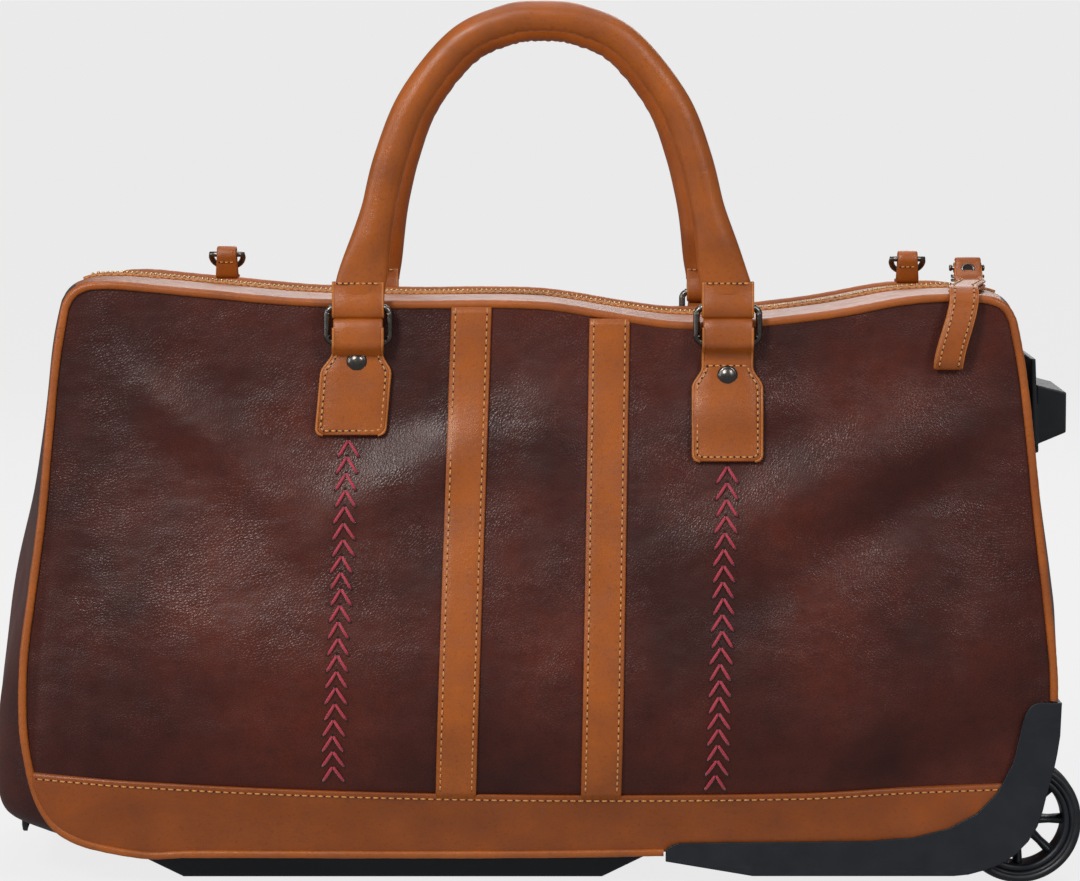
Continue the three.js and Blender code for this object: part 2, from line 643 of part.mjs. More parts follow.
function pullStrap() {
  const t = puller.thickness;
  const loopRadius = eyeRadius + puller.eyeWall;
  const hang = -panelY - puller.reach;
  const clearOfPiping = pipingRadius + puller.clearance;
  const bend = puller.reach;
  const edges = [-1, 0, 1].map((side) => edgeHeight(slider.x + (side * puller.width) / 2));
  const edge = Math.max(...edges) + clearOfPiping - (zipHeight(slider.x) + sliderLift);
  const side = new THREE.Shape();
  side.moveTo(0, eyeHeight + loopRadius);
  side.lineTo(-puller.level, eyeHeight + loopRadius - 0.5);
  side.lineTo(hang + bend, edge + t);
  side.quadraticCurveTo(hang - t, edge + t, hang - t, edge - bend);
  side.lineTo(hang - t, edge - puller.drop);
  side.lineTo(hang, edge - puller.drop);
  side.lineTo(hang, edge - bend);
  side.quadraticCurveTo(hang, edge, hang + bend, edge);
  side.lineTo(-puller.level, eyeHeight - loopRadius + 1);
  side.lineTo(0, eyeHeight - loopRadius);
  const w = puller.width / 2;
  const strap = extrudeX(side, -w, w).add(cylinderX(loopRadius, -w, w, 0, eyeHeight, 12));
  const [slotX, slotY] = [lugX + gap, puller.slotDepth / 2];
  const slot = box(-slotX, slotX, -slotY, slotY, -puller.drop, eyeHeight + loopRadius * 2);
  return strap.subtract(cylinderX(eyeRadius, -half, half, 0, eyeHeight, 12)).subtract(slot);
}
add("zip_puller", placeOnZip(pullStrap(), slider.x, sliderLift), tanLeather);

function strapTabSolid(x) {
  const foot = zipHeight(x) + strapTab.foot;
  const bar = foot + strapTab.height - strapTab.eyeBelowTop;
  const [w, t] = [strapTab.width / 2, strapTab.thickness / 2];
  const upright = box(x - w, x + w, strapTab.y - t, strapTab.y + t, foot, bar + 2);
  const footBack = strapTab.y + strapTab.footReach;
  const sewn = box(x - w, x + w, strapTab.y - t, footBack, foot, foot + strapTab.footThickness);
  const eye = cylinderX(strapTab.eyeOuter, x - w, x + w, strapTab.y, bar, 14);
  const hole = cylinderX(strapTab.eyeInner, x - w - 1, x + w + 1, strapTab.y, bar, 12);
  return { shape: union(upright, sewn, eye).subtract(hole), bar };
}

function dRingSolid(x, bar) {
  const r = dRing.wire / 2;
  const w = dRing.width / 2;
  const rod = cylinderX(r, x - w, x + w, strapTab.y, bar, 6);
  const droop = THREE.MathUtils.degToRad(dRing.droopDegrees);
  const arc = [];
  for (let i = 0; i <= 10; i++) {
    const angle = (Math.PI * i) / 10;
    const reach = dRing.height * Math.sin(angle);
    const across = x + w * Math.cos(angle);
    arc.push(new THREE.Vector3(across, strapTab.y + reach * Math.cos(droop), bar - reach * Math.sin(droop)));
  }
  const section = new THREE.Shape().absarc(0, 0, r, 0, Math.PI * 2);
  const path = new THREE.CatmullRomCurve3(arc);
  const bow = solid(new THREE.ExtrudeGeometry(section, { steps: 10, extrudePath: path, curveSegments: 3 }));
  const ends = [-w, w].map((dx) => {
    return solid(new THREE.SphereGeometry(r, 6, 4).translate(x + dx, strapTab.y, bar));
  });
  return union(rod, bow, ...ends);
}

for (const [name, x] of [["left", strapTab.leftX], ["right", strapTab.rightX]]) {
  const tab = strapTabSolid(x);
  add("strap_tab_" + name, tab.shape, tanLeather);
  add("d_ring_" + name, dRingSolid(x, tab.bar), gunmetal);
}

// ---- wheels ----
function wheelSolid() {
  const y = -panelY + wheel.frontOfPanel;
  const [y0, y1] = [y - wheel.width / 2, y + wheel.width / 2];
  const at = (radius, from, to, sides) => cylinderY(radius, from, to, wheelX, wheel.radius, sides);
  const rimOuter = wheel.radius - wheel.tyre;
  const rim = at(rimOuter - gap, y0 + 1, y1 - 1, 36).subtract(at(rimOuter - gap - wheel.rim, y0, y1, 36));
  const hub = at(wheel.hub, y0 + 2, y1 - 2, 20);
  const spokes = [];
  for (let i = 0; i < wheel.spokes; i++) {
    const reach = rimOuter - gap - wheel.rim + 1;
    const bar = new THREE.BoxGeometry(reach - 4, wheel.spokeDepth, wheel.spokeWidth);
    bar.translate((reach + 4) / 2, 0, 0);
    bar.rotateY((i * Math.PI * 2) / wheel.spokes).translate(wheelX, y, wheel.radius);
    spokes.push(solid(bar));
  }
  const bore = at(wheel.axleRadius + wheel.boreClearance, y0 - 1, y1 + 1, 16);
  const core = union(rim, hub, ...spokes).subtract(bore);
  const crown = [
    [rimOuter, y0 + 2], [wheel.radius - 2, y0], [wheel.radius - 0.3, y0 + 3], [wheel.radius, y - 4],
    [wheel.radius, y + 4], [wheel.radius - 0.3, y1 - 3], [wheel.radius - 2, y1],
    [rimOuter, y1 - 2], [rimOuter, y0 + 2],
  ].map(([r, across]) => new THREE.Vector2(r, across));
  const tyre = solid(new THREE.LatheGeometry(crown, 32).translate(wheelX, 0, wheel.radius));
  return { core, tyre };
}

function axleSolid() {
  const front = -panelY - gap - guard.plate + 1;
  return cylinderY(wheel.axleRadius, front, -housingY - 0.5, wheelX, wheel.radius, 16);
}

const wheelParts = wheelSolid();
for (const [side, mirrored] of [["front", false], ["rear", true]]) {
  add(side + "_wheel_housing", wheelHousing(), blackPlastic, mirrored);
  add(side + "_wheel_core", wheelParts.core, blackPlastic, mirrored);
  add(side + "_tyre", wheelParts.tyre, tyreRubber, mirrored);
  add(side + "_axle", axleSolid(), gunmetal, mirrored);
}

// ---- skid under the base ----
const skidTop = baseZ - skid.belowLeather;
const skidEdge = skidTop - skid.edge;
const skidSide = polygon([
  [skidLeft, skidEdge], [skidLeft + skid.chamfer, 0], [skid.right - skid.chamfer, 0],
  [skid.right, skidEdge], [skid.right, skidTop], [skidLeft, skidTop],
]);
const grooves = [-1, 0, 1].map((i) => {
  const y = (i * skid.width) / 4;
  return box(-half, half, y - skid.ribs, y + skid.ribs, -1, 2.5);
});
const skidBlock = extrudeY(skidSide, -skid.width / 2, skid.width / 2);
const skidSolid = grooves.reduce((all, groove) => all.subtract(groove), skidBlock);
add("skid", skidSolid, blackPlastic);

// ---- stand foot on the wheel end ----
const footZ = foot.bottom + foot.height / 2;
function footSolid() {
  let at = u.guardTop;
  while (gussetPoint(at, 0, 0)[2] < footZ) at += 0.0005;
  const face = gussetPoint(at, 0, 0)[0] + gap + 0.6;
  const outer = wheelX + wheel.radius - foot.setBack;
  const w = foot.width / 2;
  const [low, high, mid] = [foot.bottom, foot.bottom + foot.height, face + foot.plate];
  const wedge = polygon([
    [mid - 1, low - 1.5], [outer, low + foot.taper], [outer, high - foot.taper + 1], [mid - 1, high],
  ]);
  const hollow = polygon([
    [mid + 1, low + foot.wall + 2], [outer + 1, low + foot.wall + 4],
    [outer + 1, high - foot.wall - 3], [mid + 1, high - foot.wall],
  ]);
  const plate = extrudeY(
    polygon([
      [face, low - foot.plateBelow], [mid, low - foot.plateBelow + 1],
      [mid - 2, high + foot.plateAbove], [face - 1.5, high + foot.plateAbove],
    ]),
    -w - foot.plateBeside,
    w + foot.plateBeside,
  );
  const body = extrudeY(wedge, -w, w);
  const pockets = [-1, 1].map((i) => {
    const from = i < 0 ? -w + foot.wall : foot.wall / 2;
    return extrudeY(hollow, from, from + w - foot.wall * 1.5);
  });
  const clearLeather = gussetSheet({
    from: u.guardTop, to: u.topRight, ...fullDepth, along: 26, across: 12, outer: gap, thickness: 40,
  });
  return union(plate, body).subtract(pockets[0]).subtract(pockets[1]).subtract(clearLeather);
}
add("stand_foot", footSolid(), blackPlastic);

// ---- telescopic pull handle in the base ----
const tubeZ = trolley.height;
const outerY = trolley.spacing / 2;
function tube(x0, x1, y, wide, tall, wall) {
  const block = (beyond, w, t) => box(x0 - beyond, x1 + beyond, y - w, y + w, tubeZ - t, tubeZ + t);
  return block(0, wide / 2, tall / 2).subtract(block(1, wide / 2 - wall, tall / 2 - wall));
}
const shrink = 2 * (trolley.wall + trolley.clearance);
const sizes = [0, 1, 2].map((i) => [trolley.outerWide - i * shrink, trolley.outerTall - i * shrink]);
const cupBack = bezelFace + bezel.depth;
const gripFace = bezelFace + 1;
const gripBack = gripFace + trolley.gripDepth;
for (const [name, sign] of [["front", -1], ["rear", 1]]) {
  const y = sign * outerY;
  add("trolley_outer_" + name, tube(cupBack + gap, trolley.right, y, ...sizes[0], trolley.wall), aluminium);
  const middle = tube(cupBack - 2, trolley.right - trolley.step, y, ...sizes[1], trolley.wall);
  add("trolley_middle_" + name, middle, aluminium);
  const inner = tube(gripBack + gap, trolley.right - 2 * trolley.step, y, ...sizes[2], trolley.wall);
  add("trolley_inner_" + name, inner, aluminium);
}

const gripShape = roundedRectangle(trolley.gripWide, trolley.gripTall, 5, 0, tubeZ);
const buttonSeat = box(
  gripFace - 1, gripFace + button.seat, -button.length / 2 - gap, button.length / 2 + gap,
  tubeZ - button.width / 2 - gap, tubeZ + button.width / 2 + gap,
);
add("trolley_grip", extrudeX(gripShape, gripFace, gripBack).subtract(buttonSeat), blackPlastic);
const buttonShape = roundedRectangle(button.length, button.width, 3, 0, tubeZ);
const buttonBack = gripFace + button.seat - gap - button.travel;
add("trolley_button", extrudeX(buttonShape, gripFace - button.proud, buttonBack), gunmetal);

const cupShape = roundedRectangle(bezelWide - 2 * gap, bezelTall - 2 * gap, 6, 0, tubeZ);
const cupOuter = extrudeX(cupShape, bezelFace, cupBack);
const cupInner = extrudeX(
  roundedRectangle(bezelWide - 2 * bezel.wall, bezelTall - 2 * bezel.wall, 5, 0, tubeZ),
  bezelFace - 1,
  cupBack - bezel.wall,
);
const tubeHoles = [-1, 1].map((sign) => {
  const y = sign * outerY;
  const [wide, tall] = [sizes[1][0] + 2 * gap, sizes[1][1] + 2 * gap];
  return box(bezelFace, cupBack + 1, y - wide / 2, y + wide / 2, tubeZ - tall / 2, tubeZ + tall / 2);
});
add("trolley_bezel", cupOuter.subtract(cupInner).subtract(tubeHoles[0]).subtract(tubeHoles[1]), blackPlastic);

// ---- stiff base inside the leather ----
const trayLow = baseZ + bag.baseRise + bag.gussetThickness + 1;
const trayHigh = tubeZ - trolley.outerTall / 2 - gap;
const innerHalf = gussetY - board.inset;
const trayRight = housingLeft - 6;
const trayPlate = box(cupBack + 26, trayRight, -innerHalf, innerHalf, trayLow, trayLow + tray.thickness);
const trayRibs = [-1, 1].flatMap((sign) => [-6, 6].map((dy) => {
  const y = sign * outerY + dy;
  return box(cupBack + 26, trayRight, y - tray.rib / 2, y + tray.rib / 2, trayLow, trayHigh);
}));
add("base_tray", union(trayPlate, ...trayRibs), blackPlastic);

const boardLow = tubeZ + trolley.outerTall / 2 + gap;
add(
  "base_board",
  box(cupBack + 8, trayRight, -innerHalf, innerHalf, boardLow, boardLow + board.thickness),
  lining,
);

// ---- the frame: middle of the object's box, on the floor ----
const extent = new THREE.Box3().setFromObject(group);
const centre = extent.getCenter(new THREE.Vector3());
group.position.set(-centre.x, -centre.y, -extent.min.z);

export default group;
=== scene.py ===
"""Looks of a wheeled leather holdall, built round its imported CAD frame.

Lengths are in millimetres until a mesh is made.
"""
import math
import random

import bmesh
import bpy
import numpy as np
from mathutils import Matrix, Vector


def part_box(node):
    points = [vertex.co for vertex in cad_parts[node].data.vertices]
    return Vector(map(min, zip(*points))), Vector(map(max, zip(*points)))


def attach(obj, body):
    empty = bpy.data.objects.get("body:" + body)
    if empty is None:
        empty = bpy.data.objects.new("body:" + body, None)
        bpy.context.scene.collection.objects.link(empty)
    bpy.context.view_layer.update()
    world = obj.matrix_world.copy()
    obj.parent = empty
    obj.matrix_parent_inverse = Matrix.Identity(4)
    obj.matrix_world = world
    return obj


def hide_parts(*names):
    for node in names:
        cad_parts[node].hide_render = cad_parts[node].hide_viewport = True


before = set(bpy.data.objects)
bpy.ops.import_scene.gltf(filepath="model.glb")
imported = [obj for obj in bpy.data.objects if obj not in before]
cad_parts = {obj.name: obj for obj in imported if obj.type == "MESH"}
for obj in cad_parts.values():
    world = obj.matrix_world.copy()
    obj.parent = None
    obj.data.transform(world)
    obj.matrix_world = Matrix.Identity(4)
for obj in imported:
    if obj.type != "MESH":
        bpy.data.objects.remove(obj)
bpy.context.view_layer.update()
MM = 0.001
random.seed(7)
ROUND = math.pi * 2
TURN = np.linspace(0, ROUND, 33)[:-1]  # angles of a small circle


# ---- materials
class Shader:
    """A node material with short calls for the nodes that these looks share."""

    def __init__(self, name, color, roughness, metallic=0.0):
        self.material = bpy.data.materials.new(name)
        self.material.use_nodes = True
        self.tree = self.material.node_tree
        self.base = self.tree.nodes["Principled BSDF"]
        self.base.inputs["Base Color"].default_value = (*linear(color), 1)
        self.base.inputs["Roughness"].default_value = roughness
        self.base.inputs["Metallic"].default_value = metallic
        self.coords = self.node("ShaderNodeTexCoord").outputs["Object"]

    def node(self, kind, **values):
        made = self.tree.nodes.new(kind)
        for key, value in values.items():
            if hasattr(made, key):
                setattr(made, key, value)
            else:
                made.inputs[key.replace("_", " ").title()].default_value = value
        return made

    def link(self, output, target):
        self.tree.links.new(output, target)
        return output

    def noise(self, size_mm, detail=3.0, stretch=(1, 1, 1), roughness=0.55):
        """Noise whose features are about size_mm across, longer where stretch is small."""
        mapping = self.node("ShaderNodeMapping")
        mapping.inputs["Scale"].default_value = stretch
        self.link(self.coords, mapping.inputs["Vector"])
        made = self.node("ShaderNodeTexNoise", detail=detail, roughness=roughness)
        made.inputs["Scale"].default_value = 1 / (size_mm * MM)
        self.link(mapping.outputs["Vector"], made.inputs["Vector"])
        return made.outputs["Fac"]

    def ramp(self, source, low, high, start=0.0, end=1.0):
        """source, from low to high, mapped to start to end."""
        made = self.node("ShaderNodeMapRange")
        self.link(source, made.inputs["Value"])
        for key, value in zip(("From Min", "From Max", "To Min", "To Max"), (low, high, start, end)):
            made.inputs[key].default_value = value
        return made.outputs["Result"]

    def blend(self, amount, first, second):
        """Two colours, or a socket and a colour, mixed by a socket."""
        made = self.node("ShaderNodeMix", data_type="RGBA")
        self.link(amount, made.inputs["Factor"])
        for key, value in ((6, first), (7, second)):
            if isinstance(value, tuple):
                made.inputs[key].default_value = (*linear(value), 1)
            else:
                self.link(value, made.inputs[key])
        return made.outputs[2]

    def math(self, operation, first, second):
        made = self.node("ShaderNodeMath", operation=operation)
        for key, value in ((0, first), (1, second)):
            if isinstance(value, (int, float)):
                made.inputs[key].default_value = value
            else:
                self.link(value, made.inputs[key])
        return made.outputs[0]

    def bump(self, height, depth_mm, strength=1.0, after=None):
        made = self.node("ShaderNodeBump", strength=strength)
        made.inputs["Distance"].default_value = depth_mm * MM
        self.link(height, made.inputs["Height"])
        if after is not None:
            self.link(after, made.inputs["Normal"])
        return made.outputs["Normal"]

    def cells(self, size_mm, jitter_mm=0.5):
        """Distance to the creases between rounded cells about size_mm across."""
        wobble = self.node("ShaderNodeTexNoise", detail=2.0)
        wobble.inputs["Scale"].default_value = 1 / (size_mm * 2.2 * MM)
        self.link(self.coords, wobble.inputs["Vector"])
        shift = self.node("ShaderNodeVectorMath", operation="MULTIPLY_ADD")
        self.link(wobble.outputs["Color"], shift.inputs[0])
        shift.inputs[1].default_value = (jitter_mm * MM * 2,) * 3
        self.link(self.coords, shift.inputs[2])
        made = self.node("ShaderNodeTexVoronoi", feature="DISTANCE_TO_EDGE")
        made.inputs["Scale"].default_value = 1 / (size_mm * MM)
        self.link(shift.outputs[0], made.inputs["Vector"])
        return made.outputs["Distance"]

    def edge_normal(self, radius_mm):
        """A normal that rounds hard edges."""
        made = self.node("ShaderNodeBevel")
        made.inputs["Radius"].default_value = radius_mm * MM
        return made.outputs["Normal"]

    def done(self, color=None, roughness=None, normal=None, **constants):
        for socket, key in ((color, "Base Color"), (roughness, "Roughness"), (normal, "Normal")):
            if socket is not None:
                self.link(socket, self.base.inputs[key])
        for key, value in constants.items():
            self.base.inputs[key.replace("_", " ").title()].default_value = value
        return self.material


def linear(color):
    return tuple(((c / 255 + 0.055) / 1.055) ** 2.4 if c > 10 else c / 255 / 12.92 for c in color)


def brown_leather():
    """Pebbled, waxed leather with cloudy red and dark areas, and painted shade in the creases between the
    pebbles.
    """
    s = Shader("brown_leather", (74, 40, 33), 0.4)
    cloud = s.ramp(s.noise(85, 3), 0.38, 0.66)
    warm = s.blend(cloud, (51, 19, 15), (78, 28, 16))
    mottled = s.blend(s.ramp(s.noise(9, 4), 0.42, 0.75, 0.0, 0.32), warm, (41, 15, 13))
    crease = s.cells(1.5)
    # painted shade: the colour darkens to (22, 10, 10) in the creases between the pebbles
    dark = s.ramp(crease, 0.0, 0.12, 0.38, 0.0)
    color = s.blend(dark, mottled, (22, 10, 10))
    grain = s.ramp(crease, 0.0, 0.32)
    relief = s.math("MULTIPLY", grain, s.ramp(s.noise(28, 2), 0.35, 0.62, 0.35, 1.0))
    fine = s.bump(s.noise(0.5, 2), 0.04, 0.3)
    pebbled = s.bump(relief, 0.2, 0.52, fine)
    creased = s.bump(s.noise(30, 2, (1, 1, 1.6)), 3.0, 0.35, pebbled)
    rough = s.ramp(s.noise(16, 3), 0.3, 0.7, 0.32, 0.42)
    s.base.inputs["Specular IOR Level"].default_value = 0.36
    return s.done(color, rough, creased)


def tan_leather(name="tan_leather", color=(148, 76, 20), dark=(106, 49, 11)):
    """Smooth vegetable-tanned leather, a little darker where it is handled."""
    s = Shader(name, color, 0.42)
    cloud = s.ramp(s.noise(24, 4), 0.34, 0.72, 0.0, 0.62)
    base = s.blend(cloud, color, dark)
    flecks = s.ramp(s.noise(1.6, 3), 0.55, 0.8, 0.0, 0.4)
    speckled = s.blend(flecks, base, tuple(int(c * 0.72) for c in dark))
    pores = s.bump(s.ramp(s.cells(0.8, 0.3), 0.0, 0.25), 0.07, 0.45)
    wrinkled = s.bump(s.noise(7, 4, (1, 1, 2.2)), 0.5, 0.35, pores)
    rough = s.ramp(s.noise(12, 3), 0.3, 0.7, 0.3, 0.44)
    s.base.inputs["Specular IOR Level"].default_value = 0.42
    return s.done(speckled, rough, wrinkled)


def thread(name, color):
    """Waxed thread: strands show as a fine twist, with painted shade where the strands' bump is low."""
    s = Shader(name, color, 0.6)
    strands = s.noise(0.5, 2)
    # painted shade: the colour is darker where the strands' bump is low
    shade = s.blend(s.ramp(strands, 0.35, 0.7), tuple(int(c * 0.7) for c in color), color)
    return s.done(shade, None, s.bump(strands, 0.12, 0.7), sheen_weight=0.2)


def plastic():
    """Moulded satin plastic with a fine spark texture and light scuffs."""
    s = Shader("black_plastic", (22, 26, 32), 0.42)
    scuffs = s.ramp(s.noise(3, 4, (0.25, 1, 1)), 0.6, 0.8, 0.0, 0.35)
    color = s.blend(scuffs, (20, 24, 30), (42, 46, 52))
    rough = s.ramp(s.noise(14, 3), 0.3, 0.7, 0.36, 0.5)
    return s.done(color, rough, s.bump(s.noise(0.45, 2), 0.03, 0.5, s.edge_normal(0.9)))


def rubber():
    s = Shader("tyre_rubber", (27, 30, 35), 0.55)
    dusty = s.blend(s.ramp(s.noise(5, 4), 0.5, 0.8, 0.0, 0.5), (18, 20, 26), (40, 41, 44))
    return s.done(dusty, s.ramp(s.noise(8, 2), 0.3, 0.7, 0.38, 0.6), s.bump(s.noise(1, 3), 0.06, 0.5))


def metal(name, color, roughness, worn, wear=0.35):
    """Polished plated metal whose plating is worn and streaked."""
    s = Shader(name, color, roughness, 1.0)
    shade = s.blend(s.ramp(s.noise(4, 4), 0.45, 0.75, 0.0, wear), color, worn)
    rough = s.ramp(s.noise(2.5, 3), 0.3, 0.7, roughness * 0.75, roughness * 1.4)
    return s.done(shade, rough, s.bump(s.noise(0.6, 2), 0.02, 0.4, s.edge_normal(0.4)))


def woven():
    """Closely woven tape, its colour darker where the weave's bump is low: painted shade in the grooves."""
    s = Shader("zip_fabric", (92, 66, 38), 0.85)
    warp = s.noise(0.6, 1, (1, 6, 1))
    # painted shade: the same noise that raises the weave darkens its low grooves
    return s.done(s.blend(warp, (70, 50, 30), (112, 82, 48)), None, s.bump(warp, 0.15, 0.8), sheen_weight=0.3)


BROWN = brown_leather()
TAN = tan_leather()
BAND_TAN = tan_leather("band_tan_leather", (130, 64, 17), (100, 46, 12))
EDGE_TAN = tan_leather("cut_edge", (168, 98, 38), (126, 66, 22))
PIPING_TAN = tan_leather("piping_tan_leather", (150, 78, 22), (108, 50, 14))
THREAD = thread("tan_thread", (214, 142, 60))
CRIMSON = thread("crimson_thread", (178, 28, 58))
PLASTIC = plastic()
RUBBER = rubber()
GUNMETAL = metal("gunmetal", (112, 108, 104), 0.28, (70, 66, 62))
BRASS = metal("brass_zip", (196, 164, 98), 0.32, (132, 104, 58))
ALUMINIUM = metal("tube_aluminium", (196, 198, 202), 0.25, (150, 150, 154))
WOVEN = woven()
# painted shade: a near-black colour for the discs and rings that stand in for the shade inside needle holes,
# round the rivets and in the eyelet
HOLE_SHADE = Shader("stitch_hole_shade", (26, 14, 14), 0.9).done()


# ---- mesh helpers
def place(name, mesh, body, replaces):
    """An object that rides on a CAD body."""
    made = bpy.data.objects.new(name, mesh)
    bpy.context.scene.collection.objects.link(made)
    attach(made, body)
    if replaces:
        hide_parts(*replaces)
    return made


def piece(name, points, faces, material, body="bag", replaces=(), smooth=True):
    """A mesh from millimetre points that rides on a CAD body."""
    mesh = bpy.data.meshes.new(name)
    mesh.from_pydata([tuple(c * MM for c in p) for p in points], [], [tuple(f) for f in faces])
    mesh.materials.append(material)
    if smooth:
        mesh.shade_smooth()
    place(name, mesh, body, replaces)


def grid_faces(rows, columns, closed_columns=False, closed_rows=False, start=0, flip=False):
    faces = []
    for i in range(rows if closed_rows else rows - 1):
        for j in range(columns if closed_columns else columns - 1):
            a = start + i * columns + j
            b = start + i * columns + (j + 1) % columns
            c = start + ((i + 1) % rows) * columns + (j + 1) % columns
            d = start + ((i + 1) % rows) * columns + j
            faces.append((a, d, c, b) if flip else (a, b, c, d))
    return faces


class Parts:
    """Many small solids gathered into one mesh."""

    def __init__(self):
        self.points, self.faces = [], []

    def add(self, points, faces):
        start = len(self.points)
        self.points += [tuple(p) for p in points]
        self.faces += [tuple(start + i for i in f) for f in faces]

    def tube(self, path, radius, sides=8, closed=False, squeeze=None, up=(0, 1, 0)):
        """A round tube along points; squeeze(i) gives its two half-widths at point i."""
        path = np.array(path, float)
        n = len(path)
        if closed:
            tangents = np.roll(path, -1, 0) - np.roll(path, 1, 0)
        else:
            tangents = np.gradient(path, axis=0)
        tangents /= np.linalg.norm(tangents, axis=1)[:, None] + 1e-12
        up = np.array(up, float)
        rows = []
        for i in range(n):
            side = np.cross(tangents[i], up)
            if np.linalg.norm(side) < 1e-3:
                side = np.cross(tangents[i], (0.3, 0.2, 1.0))
            side /= np.linalg.norm(side)
            other = np.cross(side, tangents[i])
            a, b = squeeze(i) if squeeze else (radius, radius)
            for k in range(sides):
                angle = ROUND * k / sides
                rows.append(path[i] + side * a * math.cos(angle) + other * b * math.sin(angle))
        faces = grid_faces(n, sides, closed_columns=True, closed_rows=closed)
        if not closed:
            faces += [tuple(range(sides))[::-1], tuple((n - 1) * sides + k for k in range(sides))]
        self.add(rows, faces)

    def stitch(self, a, b, normal, radius=0.42, lift=0.25, ends=0.45):
        """One stitch lying on a surface, its ends sunk into their holes."""
        a, b, normal = (np.array(v, float) for v in (a, b, normal))
        along = b - a
        steps = (0.0, 0.18, 0.5, 0.82, 1.0)
        heights = (-0.7, 0.55, 1.0, 0.55, -0.7)
        widths = (ends, 0.9, 1.0, 0.9, ends)
        path = [a + along * t + normal * lift * h for t, h in zip(steps, heights)]
        self.tube(path, radius, 6, squeeze=lambda i: (radius * widths[i],) * 2, up=normal)

    def disc(self, centre, normal, radius, sides=10):
        centre, normal = np.array(centre, float), np.array(normal, float)
        side = np.cross(normal, (0.1, 0.3, 1.0))
        side /= np.linalg.norm(side)
        other = np.cross(normal, side)
        angles = [ROUND * k / sides for k in range(sides)]
        ring = [centre + radius * (side * math.cos(a) + other * math.sin(a)) for a in angles]
        self.add(ring, [tuple(range(sides))])

    def make(self, name, material, **options):
        return piece(name, self.points, self.faces, material, **options)


def box_of(node):
    low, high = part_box(node)
    return np.array(low) / MM, np.array(high) / MM


def middle_of(node):
    low, high = box_of(node)
    return (low + high) / 2


def smooth(t):
    t = min(1.0, max(0.0, t))
    return t * t * (3 - 2 * t)


def mix(a, b, t):
    return a + (b - a) * t


def rounded_path(points, closed=False, per_span=8):
    """Points on a smooth curve through the given ones."""
    points = np.array(points, float)
    n = len(points)
    out = []
    for i in range(n if closed else n - 1):
        if closed:
            p = [points[(i + k) % n] for k in (-1, 0, 1, 2)]
        else:
            p = [points[min(max(i + k, 0), n - 1)] for k in (-1, 0, 1, 2)]
        for j in range(per_span):
            t = j / per_span
            square = 2 * p[0] - 5 * p[1] + 4 * p[2] - p[3]
            cube = 3 * p[1] - p[0] - 3 * p[2] + p[3]
            out.append(0.5 * (2 * p[1] + (p[2] - p[0]) * t + square * t * t + cube * t ** 3))
    if not closed:
        out.append(points[-1])
    return np.array(out)


def sampled(path, spacing):
    """Points spaced evenly along a path, about spacing apart."""
    path = np.array(path, float)
    lengths = np.r_[0, np.cumsum(np.linalg.norm(np.diff(path, axis=0), axis=1))]
    count = max(2, int(round(lengths[-1] / spacing)) + 1)
    at = np.linspace(0, lengths[-1], count)
    return np.stack([np.interp(at, lengths, path[:, k]) for k in range(path.shape[1])], 1)


# ---- the bag's outline, read from the CAD panels
PIPING_RADIUS = (box_of("front_piping")[1] - box_of("front_piping")[0])[1] / 2
PANEL_INSET = PIPING_RADIUS + 0.6


def panel_loop(node):
    """A flat panel's outline, grown to the piping's centre line: (x, z) points, anticlockwise."""
    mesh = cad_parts[node].data
    low, high = box_of(node)
    face_y = low[1] if middle_of(node)[1] < 0 else high[1]
    spots = [tuple(round(c / MM, 2) for c in v.co) for v in mesh.vertices]
    count, ends = {}, {}
    for polygon in mesh.polygons:
        corners = [spots[i] for i in polygon.vertices]
        if all(abs(c[1] - face_y) < 0.05 for c in corners):
            for a, b in zip(corners, corners[1:] + corners[:1]):
                key = frozenset((a, b))
                count[key] = count.get(key, 0) + 1
    for key, times in count.items():
        if times == 1 and len(key) == 2:
            a, b = key
            ends.setdefault(a, []).append(b)
            ends.setdefault(b, []).append(a)
    start = max(ends, key=lambda p: p[2])
    loop, before = [start], None
    while len(loop) <= len(ends):
        following = [p for p in ends[loop[-1]] if p != before]
        before = loop[-1]
        if not following or following[0] == start:
            break
        loop.append(following[0])
    points = np.array([(p[0], p[2]) for p in loop])
    area = np.sum(points[:, 0] * np.roll(points[:, 1], -1) - np.roll(points[:, 0], -1) * points[:, 1])
    if area < 0:
        points = points[::-1]
    tangent = np.roll(points, -1, 0) - np.roll(points, 1, 0)
    tangent /= np.linalg.norm(tangent, axis=1)[:, None]
    return points + PANEL_INSET * np.stack([tangent[:, 1], -tangent[:, 0]], 1)


class Outline:
    """The closed outline as four sides, bottom, right, top and left, each run anticlockwise."""

    def __init__(self, node):
        points = rounded_path(panel_loop(node), closed=True, per_span=6)
        low, high = points.min(0), points.max(0)
        scaled = (points - (low + high) / 2) / (high - low)
        corners = [int(np.argmax(scaled @ np.array(way))) for way in ((-1, -1), (1, -1), (1, 1), (-1, 1))]
        self.low, self.high = low, high
        self.sides = []
        for a, b in zip(corners, corners[1:] + corners[:1]):
            run = points[a:b + 1] if b > a else np.r_[points[a:], points[:b + 1]]
            length = np.r_[0, np.cumsum(np.linalg.norm(np.diff(run, axis=0), axis=1))]
            self.sides.append((length / length[-1], run))

    def place(self, g):
        """The point at g, which counts the sides: 0 to 1 is the bottom, and 3 to 4 the left."""
        side = int(g % 4)
        at, run = self.sides[side]
        t = g % 4 - side
        return np.array([np.interp(t, at, run[:, 0]), np.interp(t, at, run[:, 1])])

    def normal(self, g):
        step = 0.004
        d = self.place(g + step) - self.place(g - step)
        return np.array([d[1], -d[0]]) / np.linalg.norm(d)


